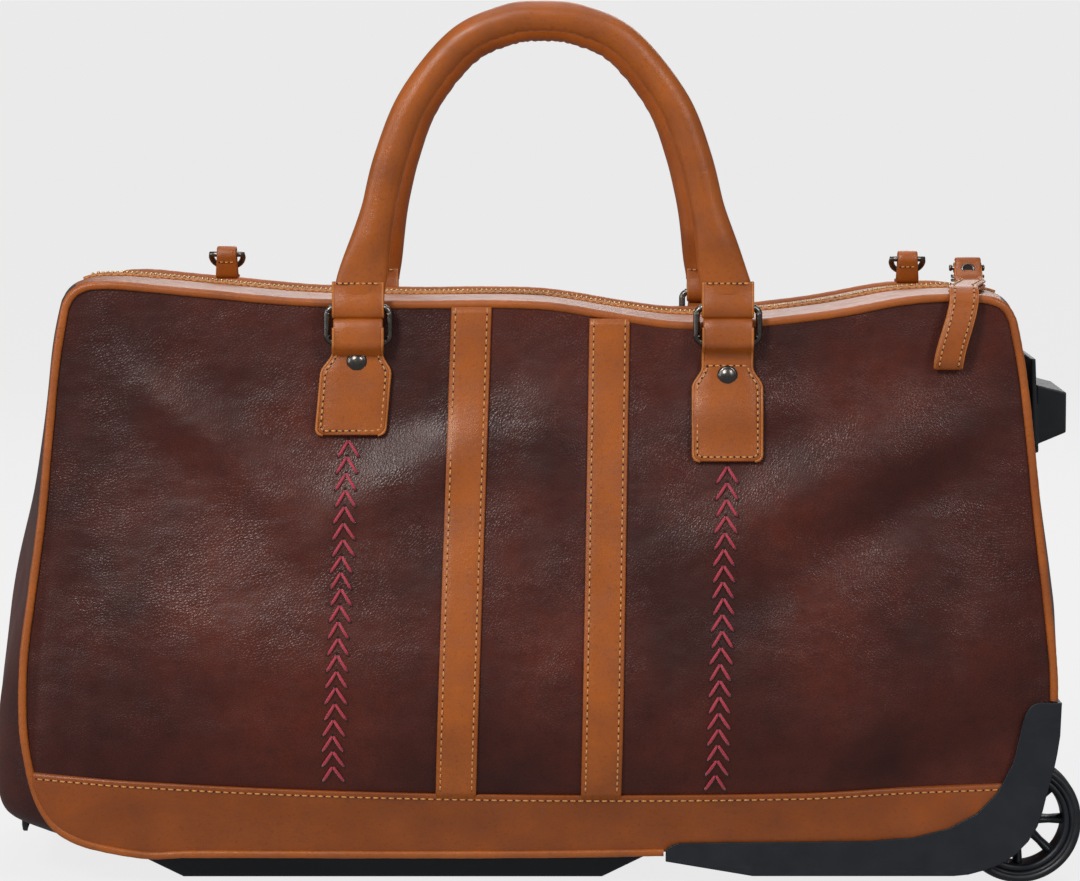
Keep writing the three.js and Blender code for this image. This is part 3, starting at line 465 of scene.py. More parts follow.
FRONT, REAR = Outline("front_panel"), Outline("rear_panel")
PANEL_Y = -box_of("front_panel")[0][1]
BASE_Z = FRONT.low[1]
SLUMP = box_of("front_handle")[1][2] - box_of("rear_handle")[1][2]
BAND_TOP = box_of("front_band")[1][2]
GUARD_TOP = box_of("front_wheel_housing")[1][2]
CENTRE_X = (FRONT.low[0] + FRONT.high[0]) / 2
HALF = (FRONT.high[0] - FRONT.low[0]) / 2

SWELL = 26  # how far the filled front stands out
# soft dents and ridges: centre x and height, reach along and across, turn in degrees, depth
FOLDS = [
    (-205, 262, 60, 16, -38, 4.2),
    (-175, 228, 78, 15, -40, -3.6),
    (-150, 214, 74, 17, -40, 4.6),
    (-62, 212, 46, 16, 24, 3.6),
    (-70, 238, 30, 14, 20, -2.0),
    (8, 240, 20, 40, 0, 3.4),
    (150, 210, 92, 19, 30, 4.6),
    (190, 196, 76, 15, 34, -3.8),
    (214, 226, 40, 14, 34, 3.0),
    (118, 246, 30, 12, 10, 2.6),
    (228, 130, 44, 18, 74, 3.0),
    (-228, 120, 60, 18, -74, 3.6),
    (60, 150, 60, 26, 18, -2.0),
    (-120, 120, 90, 26, -14, 2.2),
]


def swell(x, z, outline):
    """How far the leather stands out from the panel's plane."""
    height = (z - BASE_Z) / (outline.high[1] - BASE_Z)
    lean = 23 * height
    across = min(1.0, abs(x - CENTRE_X) / (HALF - lean))
    sides = (1 - across ** 5) ** 0.8 * (1 - 0.35 * across ** 2)
    belly = smooth(height / 0.24) * (1 - smooth((height - 0.26) / 0.68))
    upright = belly + 0.05 * smooth(height / 0.2) * (1 - smooth((height - 0.9) / 0.1))
    corner = math.hypot((FRONT.high[0] - x) / 120, (z - BASE_Z) / 90)
    guard = smooth((corner - 0.62) / 0.5)
    folds = 0.0
    for cx, cz, reach, width, turn, depth in FOLDS:
        dx, dz = x - cx, z - cz
        c, s = math.cos(math.radians(turn)), math.sin(math.radians(turn))
        a, b = dx * c + dz * s, -dx * s + dz * c
        folds += depth * math.exp(-(a / reach) ** 2 - (b / width) ** 2)
    edge = smooth((1 - across) * 5) * smooth(height / 0.12) * smooth((0.93 - height) / 0.2)
    return (SWELL * sides * upright + folds * edge) * guard


class Face:
    """The front or the rear of the bag. on(x, z, lift) is a point on its leather, x and z as on the front."""

    def __init__(self, side):
        self.side = side
        self.sign = -1 if side == "front" else 1
        self.outline = FRONT if side == "front" else REAR
        self.drop = 0 if side == "front" else SLUMP

    def on(self, x, z, lift=0.0):
        return (x, self.sign * (PANEL_Y + swell(x, z, self.outline) + lift), z)

    def normal(self):
        return (0, self.sign, 0)

    def name(self, words):
        return self.side + "_" + words

    def flip(self):
        return self.sign > 0


FACES = [Face("front"), Face("rear")]


def coons(outline, u, v):
    """A point inside the outline, u from left to right and v from bottom to top."""
    bottom, top = outline.place(u * 0.99999), outline.place(2 + (1 - u) * 0.99999)
    right, left = outline.place(1 + v * 0.99999), outline.place(3 + (1 - v) * 0.99999)
    c00, c10, c11, c01 = (outline.place(g) for g in (0, 1, 2, 3))
    ruled = (1 - v) * bottom + v * top + (1 - u) * left + u * right
    return ruled - ((1 - u) * (1 - v) * c00 + u * (1 - v) * c10 + u * v * c11 + (1 - u) * v * c01)


def leather_panel(face):
    columns, rows = ((161, 101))
    points = []
    for j in range(rows):
        for i in range(columns):
            x, z = coons(face.outline, i / (columns - 1), j / (rows - 1))
            points.append(face.on(x, z))
    faces = grid_faces(rows, columns, flip=face.flip())
    piece(face.name("leather"), points, faces, BROWN, replaces=[face.name("panel")])


for face in FACES:
    leather_panel(face)


# ---- straps, seams and stitching
ACROSS_X = lambda i: (1, 0, 0)  # the way across a strap that runs over the bag from front to rear


def lengthwise(path):
    tangents = np.gradient(np.array(path, float), axis=0)
    return tangents / (np.linalg.norm(tangents, axis=1)[:, None] + 1e-12)


def ribbon(parts, path, half, thick, side):
    """A strap of rounded section along the middle line path.

    half, thick and side give half its width, its thickness and the way across at point i.
    """
    path = np.array(path, float)
    tangents = lengthwise(path)
    rows = []
    for i, p in enumerate(path):
        w, t, s = half(i), thick(i) / 2, np.array(side(i), float)
        s /= np.linalg.norm(s)
        n = np.cross(tangents[i], s)
        n /= np.linalg.norm(n) + 1e-12
        edge = min(t * 0.9, w * 0.4)
        face = (w - edge, (w - edge) * 0.5, 0, -(w - edge) * 0.5, -(w - edge))
        upper = [(u, t * (1 + 0.12 * (1 - (u / w) ** 2))) for u in face]
        round_left = [(-w + edge * 0.3, t * 0.72), (-w, 0), (-w + edge * 0.3, -t * 0.72)]
        section = upper + round_left + [(-u, -v) for u, v in upper] + [(-u, -v) for u, v in round_left]
        rows += [p + s * u + n * v for u, v in section]
    size = len(rows) // len(path)
    faces = grid_faces(len(path), size, closed_columns=True)
    faces += [tuple(range(size))[::-1], tuple((len(path) - 1) * size + k for k in range(size))]
    parts.add(rows, faces)


class Stitching:
    """The threads of a piece's seams, and dark discs of painted shade for their needle holes."""

    def __init__(self):
        self.threads, self.holes = Parts(), Parts()

    def seam(self, path, normal, pitch=4.0, radius=0.42, cover=0.66):
        """Stitches along a line on a surface, with a dark disc of painted shade for the needle hole where
        each starts.

        normal is the way out of the surface, or gives it at a point.
        """
        spots = sampled(path, pitch)
        gap = (1 - cover) / 2
        for a, b in zip(spots[:-1], spots[1:]):
            n = np.array(normal(a) if callable(normal) else normal, float)
            self.threads.stitch(a + (b - a) * gap, b - (b - a) * gap, n, radius)
            self.holes.disc(a + n * 0.06, n, radius * 1.15, 6)

    def make(self, thread_name, holes_name, body="bag"):
        self.threads.make(thread_name, THREAD, body=body)
        self.holes.make(holes_name, HOLE_SHADE, body=body, smooth=False)


def edge_heights(outline, x, top=True):
    """Height of the outline's top or bottom edge at x."""
    if top:
        _, run = outline.sides[2]
        return float(np.interp(x, run[::-1, 0], run[::-1, 1]))
    runs = [outline.sides[side][1] for side in (3, 0, 1)]
    points = np.concatenate([run[run[:, 1] < BAND_TOP + 25] for run in runs])
    points = points[np.argsort(points[:, 0])]
    return float(np.interp(x, points[:, 0], points[:, 1]))


STRIPE_WIDTH = 20.5
TRIM = 1.8
BAND_RISE = (5.5, -4.5, 0.5)  # the band's top edge above its CAD height, at the left, middle and right
BAND_EDGE = ((0, 0.0), (0.25, 1.0), (0.7, 1.6), (1.6, 1.9))  # below the top edge, and out from the leather


def band_top(x):
    t = (x - CENTRE_X) / HALF
    a, b, c = BAND_RISE
    return BAND_TOP + b + (c - a) / 2 * t + ((a + c) / 2 - b) * t * t


def band_end(outline, side, x):
    """Where the band's top edge meets the outline's left or right side."""
    run = sorted((p for p in outline.sides[side][1] if p[1] < BAND_TOP + 30), key=lambda p: p[1])
    return float(np.interp(band_top(x), [p[1] for p in run], [p[0] for p in run]))


def make_band(face, stitching):
    outline = face.outline
    x0 = band_end(outline, 3, outline.low[0]) + 0.4
    x1 = band_end(outline, 1, outline.high[0]) - 0.4
    columns, flat_rows = 200, 8
    edge_rows = len(BAND_EDGE)
    below, out = BAND_EDGE[-1]
    points = []
    for row in range(edge_rows + flat_rows):
        for i in range(columns):
            x = mix(x0, x1, 0.5 - 0.5 * math.cos(math.pi * i / (columns - 1)))
            top = band_top(x)
            low = min(edge_heights(outline, x, False) + 0.3, top - 0.2)
            scale = min(1.0, (top - low) / 8)
            if row < edge_rows:
                z, lift = top - BAND_EDGE[row][0] * scale, BAND_EDGE[row][1] * scale
            else:
                t = (row - edge_rows + 1) / flat_rows
                z, lift = mix(top - below * scale, low, t), out * scale * (1 - 0.6 * smooth((t - 0.8) / 0.2))
            points.append(face.on(x, z, lift))
    faces = grid_faces(edge_rows + flat_rows, columns, flip=not face.flip())
    piece(face.name("band_leather"), points, faces, BAND_TAN, replaces=[face.name("band")])
    line = [face.on(x, band_top(x) - 3, 2.0) for x in np.linspace(x0 + 3, min(x1, 250), 160)]
    stitching.seam(line, face.normal())


def make_stripe(face, name, stitching):
    low, high = box_of("front_stripe_" + name)
    half = STRIPE_WIDTH / 2
    bottom_x, top_x = low[0] + half, high[0] - half
    end = band_top(bottom_x) - 1.5
    top = edge_heights(face.outline, top_x) - 1.2

    def centre(z):
        return mix(bottom_x, top_x, (z - BAND_TOP) / (FRONT.high[1] - BAND_TOP))

    zs = np.linspace(end, top, 70)
    path = [face.on(centre(z), z, TRIM / 2 + 0.1) for z in zs]

    def side(i):
        x, z = centre(zs[i]), zs[i]
        a, b = np.array(face.on(x - 4, z)), np.array(face.on(x + 4, z))
        return b - a if face.sign < 0 else a - b

    parts = Parts()
    ribbon(parts, path, lambda i: half, lambda i: TRIM, side)
    parts.make(face.name("stripe_leather_" + name), TAN, replaces=[face.name("stripe_" + name)])
    shown = zs[zs > band_top(bottom_x) + 1]
    for way in (-1, 1):
        line = [face.on(centre(z) + way * (half - 2.3), z, TRIM + 0.15) for z in shown]
        stitching.seam(line, face.normal(), pitch=3.9)


def chevrons(face, x_top, x_bottom, top, bottom, threads, holes):
    """A row of arrowhead stitches pointing up."""
    pitch, reach, height = 8.2, 5.2, 7.8
    for k in range(int((top - bottom) / pitch)):
        z = top - 3 - k * pitch
        x = mix(x_top, x_bottom, (top - z) / (top - bottom)) + random.uniform(-0.35, 0.35)
        for way in (-1, 1):
            tip = np.array(face.on(x + way * 0.25, z, 0.5))
            spread = reach + random.uniform(-0.4, 0.4)
            end = np.array(face.on(x + way * spread, z - height, 0.35))
            threads.stitch(tip, end, face.normal(), 0.8, 0.55, 0.8)
            # painted shade: dark discs for the needle holes at each stitch's ends and tip
            holes.disc(end + np.array(face.normal()) * 0.1, face.normal(), 0.95, 8)
        holes.disc(np.array(face.on(x, z + 0.8, 0.12)), face.normal(), 0.9, 8)


PATCH = {"left": (232, 273, 0.09), "right": (219, 266, 0.0)}  # bottom, shoulder, lean
PATCH_HALF, TAB_HALF, PATCH_THICK = 17.5, 12.5, 3.2
PATCH_HEM = 2.3  # from the patch's edge to its seam
WIRE = 1.8
LOOP = WIRE + 1.6  # from a ring's wire to the middle of the leather round it
TAB_RISE = 11
# the rivet's turned profile: radius, distance outwards
RIVET = [(0, 2.1), (1.6, 1.95), (3.0, 1.5), (4.0, 0.75), (4.3, 0.5), (4.6, 0.45), (4.7, 0.2), (4.7, -0.6)]


def make_patch(face, name, stitching):
    """A patch sewn to the face, whose tab rises in front of the ring's bar and folds down behind it."""
    bottom, shoulder, lean = PATCH[name]
    bottom, shoulder = bottom - face.drop, shoulder - face.drop
    ring_low, ring_high = box_of(face.name("ring_" + name))
    centre, bar = (ring_low[0] + ring_high[0]) / 2, ring_low[2] + WIRE
    stand = abs(middle_of(face.name("ring_" + name))[1]) - PANEL_Y
    peak = bar + TAB_RISE

    def x_at(z):
        return centre + (z - bar) * lean if z < bar else centre

    heights = np.r_[np.linspace(bottom, bottom + 4, 6), np.linspace(bottom + 6, shoulder, 22)]
    flat = [(z, PATCH_THICK / 2 + 0.15) for z in heights]
    rising = [
        (bar - 5.5, stand * 0.45), (bar - 2.0, stand + LOOP - 0.9), (bar + 1.6, stand + LOOP),
        (peak - 3.4, stand + LOOP - 0.2), (peak - 0.6, stand + 2.2),
    ]
    over = [
        (peak, stand + 0.4), (peak - 2.4, stand - 2.4), (bar + 1.2, stand - LOOP),
        (bar - 2.5, stand - LOOP - 0.4), (bar - 6, 1.6),
    ]
    curve = rounded_path([flat[-2], flat[-1]] + rising + over, per_span=5)[5:]
    line = np.array(flat[:-1] + [tuple(p) for p in curve])
    path = [face.on(x_at(z), z, lift) for z, lift in line]
    turned = int(np.argmax(line[:, 0]))

    def narrowing(z):
        return mix(PATCH_HALF, TAB_HALF, smooth((z - shoulder + 10) / 10))

    def half(i):
        z = line[i][0]
        if i > turned or z > shoulder:
            return TAB_HALF
        into = min(1.0, max(0.0, (z - bottom) / 3.5))
        return narrowing(z) - 3.5 * (1 - math.sqrt(1 - (1 - into) ** 2))

    def thick(i):
        return mix(PATCH_THICK, 2.0, smooth((line[i][0] - shoulder) / 5) if i < turned else 1)

    parts = Parts()
    ribbon(parts, path, half, thick, lambda i: (-face.sign, 0, 0))
    parts.make(face.name("patch_leather_" + name), TAN, replaces=[face.name("patch_" + name)])
    rim = Parts()
    for way in (-1, 1):
        cut = [
            np.array(face.on(x_at(z) + way * (half(i) - 0.2), z, lift + PATCH_THICK * 0.3))
            for i, (z, lift) in enumerate(line[:turned - 8])
        ]
        rim.tube(cut, 0.75, 6)
    rim.make(face.name("patch_edge_" + name), EDGE_TAN)

    face_lift = PATCH_THICK + 0.35
    up = np.linspace(bottom + PATCH_HEM, shoulder + 0.5, 30)
    outline = [face.on(x_at(z) - (narrowing(z) - PATCH_HEM), z, face_lift) for z in up[::-1]]
    outline += [face.on(x_at(z) + (narrowing(z) - PATCH_HEM), z, face_lift) for z in up]
    stitching.seam(outline, face.normal(), pitch=3.3, radius=0.45)
    top_z = shoulder + 1
    reach = narrowing(shoulder) - PATCH_HEM
    top_line = [face.on(x_at(top_z) + t * reach, top_z, face_lift) for t in np.linspace(-1, 1, 9)]
    stitching.seam(top_line, face.normal(), pitch=3.3, radius=0.45)

    rivet_z = middle_of(face.name("rivet_" + name))[2]
    lathe(
        face.name("rivet_dome_" + name), RIVET, face.on(x_at(rivet_z), rivet_z, PATCH_THICK + 0.2),
        face.sign, GUNMETAL, 40, replaces=[face.name("rivet_" + name)],
    )
    # painted shade: a thin dark ring round the rivet's rim, on the patch
    rivet_shade_ring = Parts()
    c = np.array(face.on(x_at(rivet_z), rivet_z, PATCH_THICK + 0.25))
    rivet_shade_ring.tube(
        [c + 4.9 * np.array((math.cos(a), 0, math.sin(a))) for a in TURN], 0.3, 6,
        closed=True, up=face.normal(),
    )
    rivet_shade_ring.make(face.name("rivet_seat_" + name), HOLE_SHADE)


def lathe(name, profile, centre, sign, material, sides, **options):
    """A shape turned about the Y axis through centre: profile is (radius, distance outwards)."""
    points = []
    for r, out in profile:
        for k in range(sides):
            a = ROUND * k / sides
            points.append((centre[0] + r * math.cos(a), centre[1] + sign * out, centre[2] + r * math.sin(a)))
    faces = grid_faces(len(profile), sides, closed_columns=True, flip=sign < 0)
    return piece(name, points, faces, material, **options)


def make_ring(face, name):
    """A rectangular ring of bent wire with rounded corners."""
    low, high = box_of(face.name("ring_" + name))
    y = middle_of(face.name("ring_" + name))[1]
    w, h, r = (high[0] - low[0]) / 2 - WIRE, (high[2] - low[2]) / 2 - WIRE, 3.6
    cx, cz = (low[0] + high[0]) / 2, (low[2] + high[2]) / 2
    path = []
    for sx, sz, a0 in ((1, 1, 0), (-1, 1, 90), (-1, -1, 180), (1, -1, 270)):
        for a in range(0, 91, 15):
            t = math.radians(a0 + a)
            path.append((cx + sx * (w - r) + r * math.cos(t), y, cz + sz * (h - r) + r * math.sin(t)))
    parts = Parts()
    dense = rounded_path(path, closed=True, per_span=2)
    parts.tube(dense, WIRE, 12, closed=True, squeeze=lambda i: (WIRE * 0.95, WIRE))
    parts.make(
        face.name("ring_wire_" + name), GUNMETAL, body=face.name("rings"),
        replaces=[face.name("ring_" + name)],
    )


# the handle's side: share of its rise, share of half its span
ARCH = ((0, 0.985), (0.1, 0.95), (0.26, 0.895), (0.47, 0.82), (0.69, 0.695), (0.9, 0.45), (0.985, 0.2))
HANDLE_RADIUS = 7.8
SHANK = 13  # from the ring's bar to where the roll starts
# the loop of leather round a ring's bar: (depth, height above the bar) down one side, mirrored up the other
LOOP_SIDE = [(-1.9, SHANK), (-2.3, 8), (-3.3, 2.4), (-LOOP, -1), (-2.3, -3.6)]
LOOP_PATH = LOOP_SIDE + [(0, -LOOP - 1.4)] + [(-dy, dz) for dy, dz in LOOP_SIDE[::-1]]


def handle_section(above):
    """Half the roll's width and half its depth at a height above its foot: flat at the foot, round above."""
    w = mix(12.9, HANDLE_RADIUS + 0.6, smooth((above + 4) / 46)) - 0.6 * smooth((above - 50) / 60)
    return w, mix(3.9, HANDLE_RADIUS, smooth((above + 4) / 27))


def make_handle(face, stitching):
    """A rolled handle, and the loops that tie its flat feet to the rings."""
    left, right = (middle_of(face.name("ring_" + side)) for side in ("left", "right"))
    bar = box_of(face.name("ring_left"))[1][2] - WIRE
    y = left[1]
    centre, span = (left[0] + right[0]) / 2, (right[0] - left[0]) / 2
    foot, top = bar + SHANK, box_of(face.name("handle"))[1][2] - HANDLE_RADIUS
    side = [(span * 0.992, foot - 6)] + [(width * span, mix(foot, top, rise)) for rise, width in ARCH]
    line = [(-x, z) for x, z in side] + [(0, top)] + [(x, z) for x, z in side[::-1]]
    path = rounded_path([(centre + x, y, z) for x, z in line], per_span=14)
    body = face.name("carry_handle")
    sides = 28
    tangents = lengthwise(path)
    rows = []
    for i, p in enumerate(path):
        w, t = handle_section(p[2] - foot)
        across = np.cross(tangents[i], (0, 1, 0))
        upright = smooth((p[2] - foot) / 45)
        across = across * upright + np.array((math.copysign(1, p[0] - centre), 0, 0)) * (1 - upright)
        across /= np.linalg.norm(across)
        inner = np.sign(np.dot(across, np.array((centre, y, foot)) - p)) or 1
        high = smooth((p[2] - foot - 60) / 70)
        puckers = 0.028 * math.sin(i * 2.1) + 0.02 * math.sin(i * 1.27 + 1) - 0.02
        for k in range(sides):
            a = ROUND * k / sides
            grow = 1 + 0.012 * math.sin(i * 0.23 + 2 * math.cos(a))
            inside = max(0.0, math.cos(a) * inner) ** 2
            fold = -0.05 * math.exp(-((a - 4.1) / 0.12) ** 2)
            scale = grow + high * inside * puckers + fold
            out = np.array((0, 1, 0)) * t * scale * math.sin(a) * -face.sign
            rows.append(p + across * w * scale * math.cos(a) + out)
    faces = grid_faces(len(path), sides, closed_columns=True, flip=face.sign > 0)
    piece(face.name("handle_roll"), rows, faces, TAN, body=body, replaces=[face.name("handle")])
    straps, edges = Parts(), Parts()
    half = 12.5
    for ring in (left, right):
        curve = rounded_path(LOOP_PATH, per_span=4)
        track = [(ring[0], y + dy * face.sign, bar + dz) for dy, dz in curve]
        ribbon(straps, track, lambda i: half, lambda i: 2.1, ACROSS_X)
        for way in (-1, 1):
            x = ring[0] + way * (half - 0.1)
            edges.tube([(x, p[1] + (0.5 if p[1] > y else -0.5), p[2]) for p in track], 0.7, 6)
        for out in (-1, 1):
            sewn = [
                (ring[0] + t * (half - 2), y + out * (3.75 + 0.25 * (1 - t * t)), foot - 0.6)
                for t in np.linspace(-1, 1, 9)
            ]
            stitching.seam(sewn, (0, out, 0), pitch=3.2, radius=0.45)
    straps.make(face.name("handle_loops"), TAN, body=body)
    edges.make(face.name("handle_loop_edges"), EDGE_TAN, body=body)


# ---- front and rear
for face in FACES:
    stitching, crimson = Stitching(), Parts()
    make_band(face, stitching)
    for name in ("left", "right"):
        make_stripe(face, name, stitching)
        make_patch(face, name, stitching)
        make_ring(face, name)
        x = middle_of(face.name("ring_" + name))[0]
        bottom, _, lean = PATCH[name]
        start, end = (5, 14) if lean else (0, 6)  # how far left of the ring the row starts and ends
        chevrons(face, x - start, x - end, bottom - face.drop, band_top(x) + 3, crimson, stitching.holes)
    stitching.threads.make(face.name("thread"), THREAD)
    crimson.make(face.name("arrow_stitches"), CRIMSON)
    stitching.holes.make(face.name("needle_holes"), HOLE_SHADE, smooth=False)
    stitching = Stitching()
    make_handle(face, stitching)
    stitching.make(face.name("handle_thread"), face.name("handle_needle_holes"), face.name("carry_handle"))


# ---- the leather between front and rear
GUSSET_Y = PANEL_Y - 3.8
TOP_Z = FRONT.high[1]
HOUSING_LOW, HOUSING_HIGH = box_of("front_wheel_housing")
BEZEL_LOW, BEZEL_HIGH = box_of("trolley_bezel")
CHAIN_HALF = 2.75  # half the width of the closed teeth
TAPE_HALF = 8


def end_push(x, z, y):
    """How far an end bulges outwards at the outline's x and z."""
    low = 1 - min(1.0, max(0.0, (z - BASE_Z) / (TOP_Z - BASE_Z)))
    corner = 1 - min(1.0, max(0.0, (z - BASE_Z) / 56))
    ends = smooth((abs(x - CENTRE_X) - (HALF - 78)) / 50)
    wide = math.cos(math.pi / 2 * min(1.0, abs(y) / GUSSET_Y)) ** 0.8
    soft = 1.6 * math.sin(z * 0.045 + 1) * math.sin(y * 0.035 + z * 0.012) * wide
    if x < CENTRE_X:
        pillow = 1 - (min(1.0, abs(y) / GUSSET_Y)) ** 5
        dip = 1 - 0.2 * smooth((BEZEL_HIGH[1] + 22 - abs(y)) / 18)
        full = mix(wide, pillow * dip, smooth((150 - z) / 90))
        return -ends * (full * (mix(8, 26, low) + 16 * corner) + soft)
    inner = -HOUSING_HIGH[1] - 4
    narrow = math.cos(math.pi / 2 * min(1.0, abs(y) / inner))
    across = mix(narrow, wide, smooth((z - GUARD_TOP) / 45))
    open_part = smooth((z - GUARD_TOP - 10) / 40) * smooth((205 - z) / 20)
    return ends * (across * mix(8, 15, low) + 0.3 * soft * open_part)


def gusset(g, y, lift=0.0):
    """A point on the leather that runs round the bag, g being the place round the outline."""
    t = (y + PANEL_Y) / (2 * PANEL_Y)
    front, rear = FRONT.place(g), REAR.place(g)
    normal = mix(FRONT.normal(g), REAR.normal(g), t)
    x, z = mix(front, rear, t) + normal * lift
    crown = 2.0 * math.sin(math.pi * t) * smooth((z - TOP_Z + 60) / 30)
    px = x + end_push(x, z, y)
    if x < CENTRE_X:
        z += 5 * smooth((CENTRE_X - px - 219) / 50) * (1 - smooth((z - BASE_Z) / 26))
    return (px, y, z + crown)


def is_cut_away(x, y, z):
    """Whether the leather is open at a point, for a wheel housing or for the pull handle's cup."""
    beside = abs(y) > -HOUSING_HIGH[1] + 2
    in_housing = x > HOUSING_LOW[0] + 3 and z < GUARD_TOP - 2 and beside
    between = abs(y) < BEZEL_HIGH[1] - 1 and BEZEL_LOW[2] + 1 < z < BEZEL_HIGH[2] - 1
    return in_housing or (x < BEZEL_HIGH[0] and between)


def leather_round(name, first, last, columns, rows, material, **options):
    """The leather round the bag from one place on the outline to another."""
    run = np.linspace(first, last, columns)
    ys = np.r_[-PANEL_Y, np.linspace(-GUSSET_Y + 1, GUSSET_Y - 1, rows), PANEL_Y]
    points = [gusset(g, y) for g in run for y in ys]
    faces = [
        f for f in grid_faces(len(run), len(ys))
        if not is_cut_away(*np.mean([points[i] for i in f], 0))
    ]
    piece(name, points, faces, material, **options)


leather_round("top_leather", 2.0, 3.0, 150, 41, TAN, replaces=["zip_gusset_front", "zip_gusset_rear"])
leather_round(
    "shell_leather", 3.0, 6.0, 380, 57, BROWN,
    replaces=["end_gusset_left", "end_gusset_right", "base_gusset"],
)


END_TURNS_UNDER = 26


def left_end(y, z):
    """How far left the end leather reaches at y and z, down to where it turns under the bag."""
    z = max(z, END_TURNS_UNDER)
    run = FRONT.sides[3][1]
    x = float(np.interp(z, run[::-1, 1], run[::-1, 0]))
    return x + end_push(x, z, y)


# the frame's section: offset from the cup's outer wall, distance out from the leather
COLLAR = [(3.6, -1.5), (3.6, 0.4), (2.9, 1.0), (0.3, 1.4), (-2.2, 1.0), (-2.9, 0.4), (-3.0, None)]
COLLAR_CORNER = 6


def collar_ring(points):
    """One section of the frame: its outer edge lies on the leather, and its last point meets the cup."""
    wall = BEZEL_LOW[0]
    return [
        (wall if out is None else min(left_end(y, z), wall) - out, y, z)
        for (_, out), (y, z) in zip(COLLAR, points)
    ]


def make_collar():
    """The moulded frame between the end leather and the cup that holds the pull handle."""
    y1, z0, z1 = BEZEL_HIGH[1], BEZEL_LOW[2], BEZEL_HIGH[2]
    steps, straight = 14, 12
    sections = []
    for y, z, first in ((y1, z1, 0), (-y1, z1, 90), (-y1, z0, 180), (y1, z0, 270)):
        middle_y = y - math.copysign(COLLAR_CORNER, y)
        middle_z = z - (COLLAR_CORNER if z == z1 else -COLLAR_CORNER)
        for k in range(steps + 1):
            a = math.radians(first + 90 * k / steps)
            sections.append([
                (
                    middle_y + (COLLAR_CORNER + offset) * math.cos(a),
                    max(middle_z + (COLLAR_CORNER + offset) * math.sin(a), BASE_Z + 0.5),
                )
                for offset, _ in COLLAR
            ])
    points = []
    for i, section in enumerate(sections):
        following = sections[(i + 1) % len(sections)]
        # a straight run gets points of its own, so that the frame follows the leather's curve
        parts = straight if (i + 1) % (steps + 1) == 0 else 1
        for j in range(parts):
            t = j / parts
            points += collar_ring([
                (mix(y, next_y, t), mix(z, next_z, t))
                for (y, z), (next_y, next_z) in zip(section, following)
            ])
    size = len(COLLAR)
    faces = grid_faces(len(points) // size, size, closed_rows=True)
    piece("handle_frame", points, faces, PLASTIC)


make_collar()


def make_piping(face):
    """The rolled edge, from the top of the wheel guard round to its toe."""
    outline = face.outline
    toe = HOUSING_LOW[0] - 1
    run = np.linspace(1, 5, 2400)
    start = next(g for g in run if outline.place(g)[1] > GUARD_TOP + 0.5)
    stop = next(g for g in run[::-1] if outline.place(g)[0] < toe or g < 4)
    path = [(*outline.place(g), g) for g in np.linspace(start, stop, 620)]
    y = face.sign * PANEL_Y
    sides = 14
    points = []
    for i, (x, z, g) in enumerate(path):
        n = outline.normal(g)
        uneven = 0.035 * math.sin(i * 0.37) * math.sin(i * 0.11) + 0.02 * math.sin(i * 1.9)
        r = PIPING_RADIUS * (1 + uneven)
        for k in range(sides):
            a = ROUND * k / sides
            fold = 1 - 0.22 * math.exp(-((a - math.pi) / 0.35) ** 2)
            c = r * fold * math.cos(a)
            points.append((x + n[0] * c, y + face.sign * r * fold * math.sin(a), z + n[1] * c))
    faces = grid_faces(len(path), sides, closed_columns=True, flip=face.sign > 0)
    piece(face.name("piping_roll"), points, faces, PIPING_TAN, replaces=[face.name("piping")])


for face in FACES:
    make_piping(face)


# ---- zip
def top_place(x):
    """The place round the outline, along the top, where the zip line passes x."""
    if not hasattr(top_place, "table"):
        gs = np.linspace(2, 3, 600)
        top_place.table = (np.array([gusset(g, 0)[0] for g in gs])[::-1], gs[::-1])
    return float(np.interp(x, *top_place.table))


def on_zip(x, y, lift=0.0):
    return np.array(gusset(top_place(x), y, lift))


TAPE_SECTION = [(-TAPE_HALF, 0.1), (-TAPE_HALF + 1, 0.7), (-CHAIN_HALF, 0.8)]  # across, above the leather
TOOTH = ((2.7, 0.75), (2.0, 0.95), (0.6, 0.85), (-0.7, 1.0), (-1.0, 0.6))  # reach, half width
TOOTH_PITCH = 2.5


def make_zip():
    low, high = box_of("zip_tape")
    # the tape ends inside both its own box and the bag's top edge
    x0 = max(low[0] + 1, gusset(3, 0)[0] + 0.5)
    x1 = min(high[0] - 1, gusset(2, 0)[0] - 0.5)
    xs = np.linspace(x0, x1, 160)
    across = TAPE_SECTION + [(0, 0.9)] + [(-y, lift) for y, lift in TAPE_SECTION[::-1]]
    points = [on_zip(x, y, lift) for x in xs for y, lift in across]
    faces = grid_faces(len(xs), len(across), flip=True)
    piece("zip_cloth", points, faces, WOVEN, replaces=["zip_tape"])
    hems = Parts()
    for y in (-TAPE_HALF - 0.6, TAPE_HALF + 0.6):
        hems.tube([on_zip(x, y, 0.5) for x in xs], 0.9, 8)
    hems.make("zip_hems", EDGE_TAN)
    teeth = Parts()
    margin = 4
    for k in range(int((x1 - x0 - 2 * margin) / TOOTH_PITCH)):
        way = 1 if k % 2 else -1
        x = x0 + margin + k * TOOTH_PITCH
        base = on_zip(x, 0, 1.5)
        ahead = on_zip(x + 1, 0, 1.5) - base
        ahead /= np.linalg.norm(ahead)
        path = [base + np.array((0, way * d, 0)) for d, _ in TOOTH]
        teeth.tube(path, 0.9, 6, squeeze=lambda i: (TOOTH[i][1] * 0.95, TOOTH[i][1] * 0.8), up=ahead)
    teeth.make("zip_teeth", BRASS, replaces=["zip_chain"])
    stitching = Stitching()
    for y in (-TAPE_HALF - 4, TAPE_HALF + 4):
        stitching.seam([on_zip(x, y, 0.3) for x in xs], (0, 0, 1), pitch=3.8)
    stitching.make("zip_thread", "zip_needle_holes")


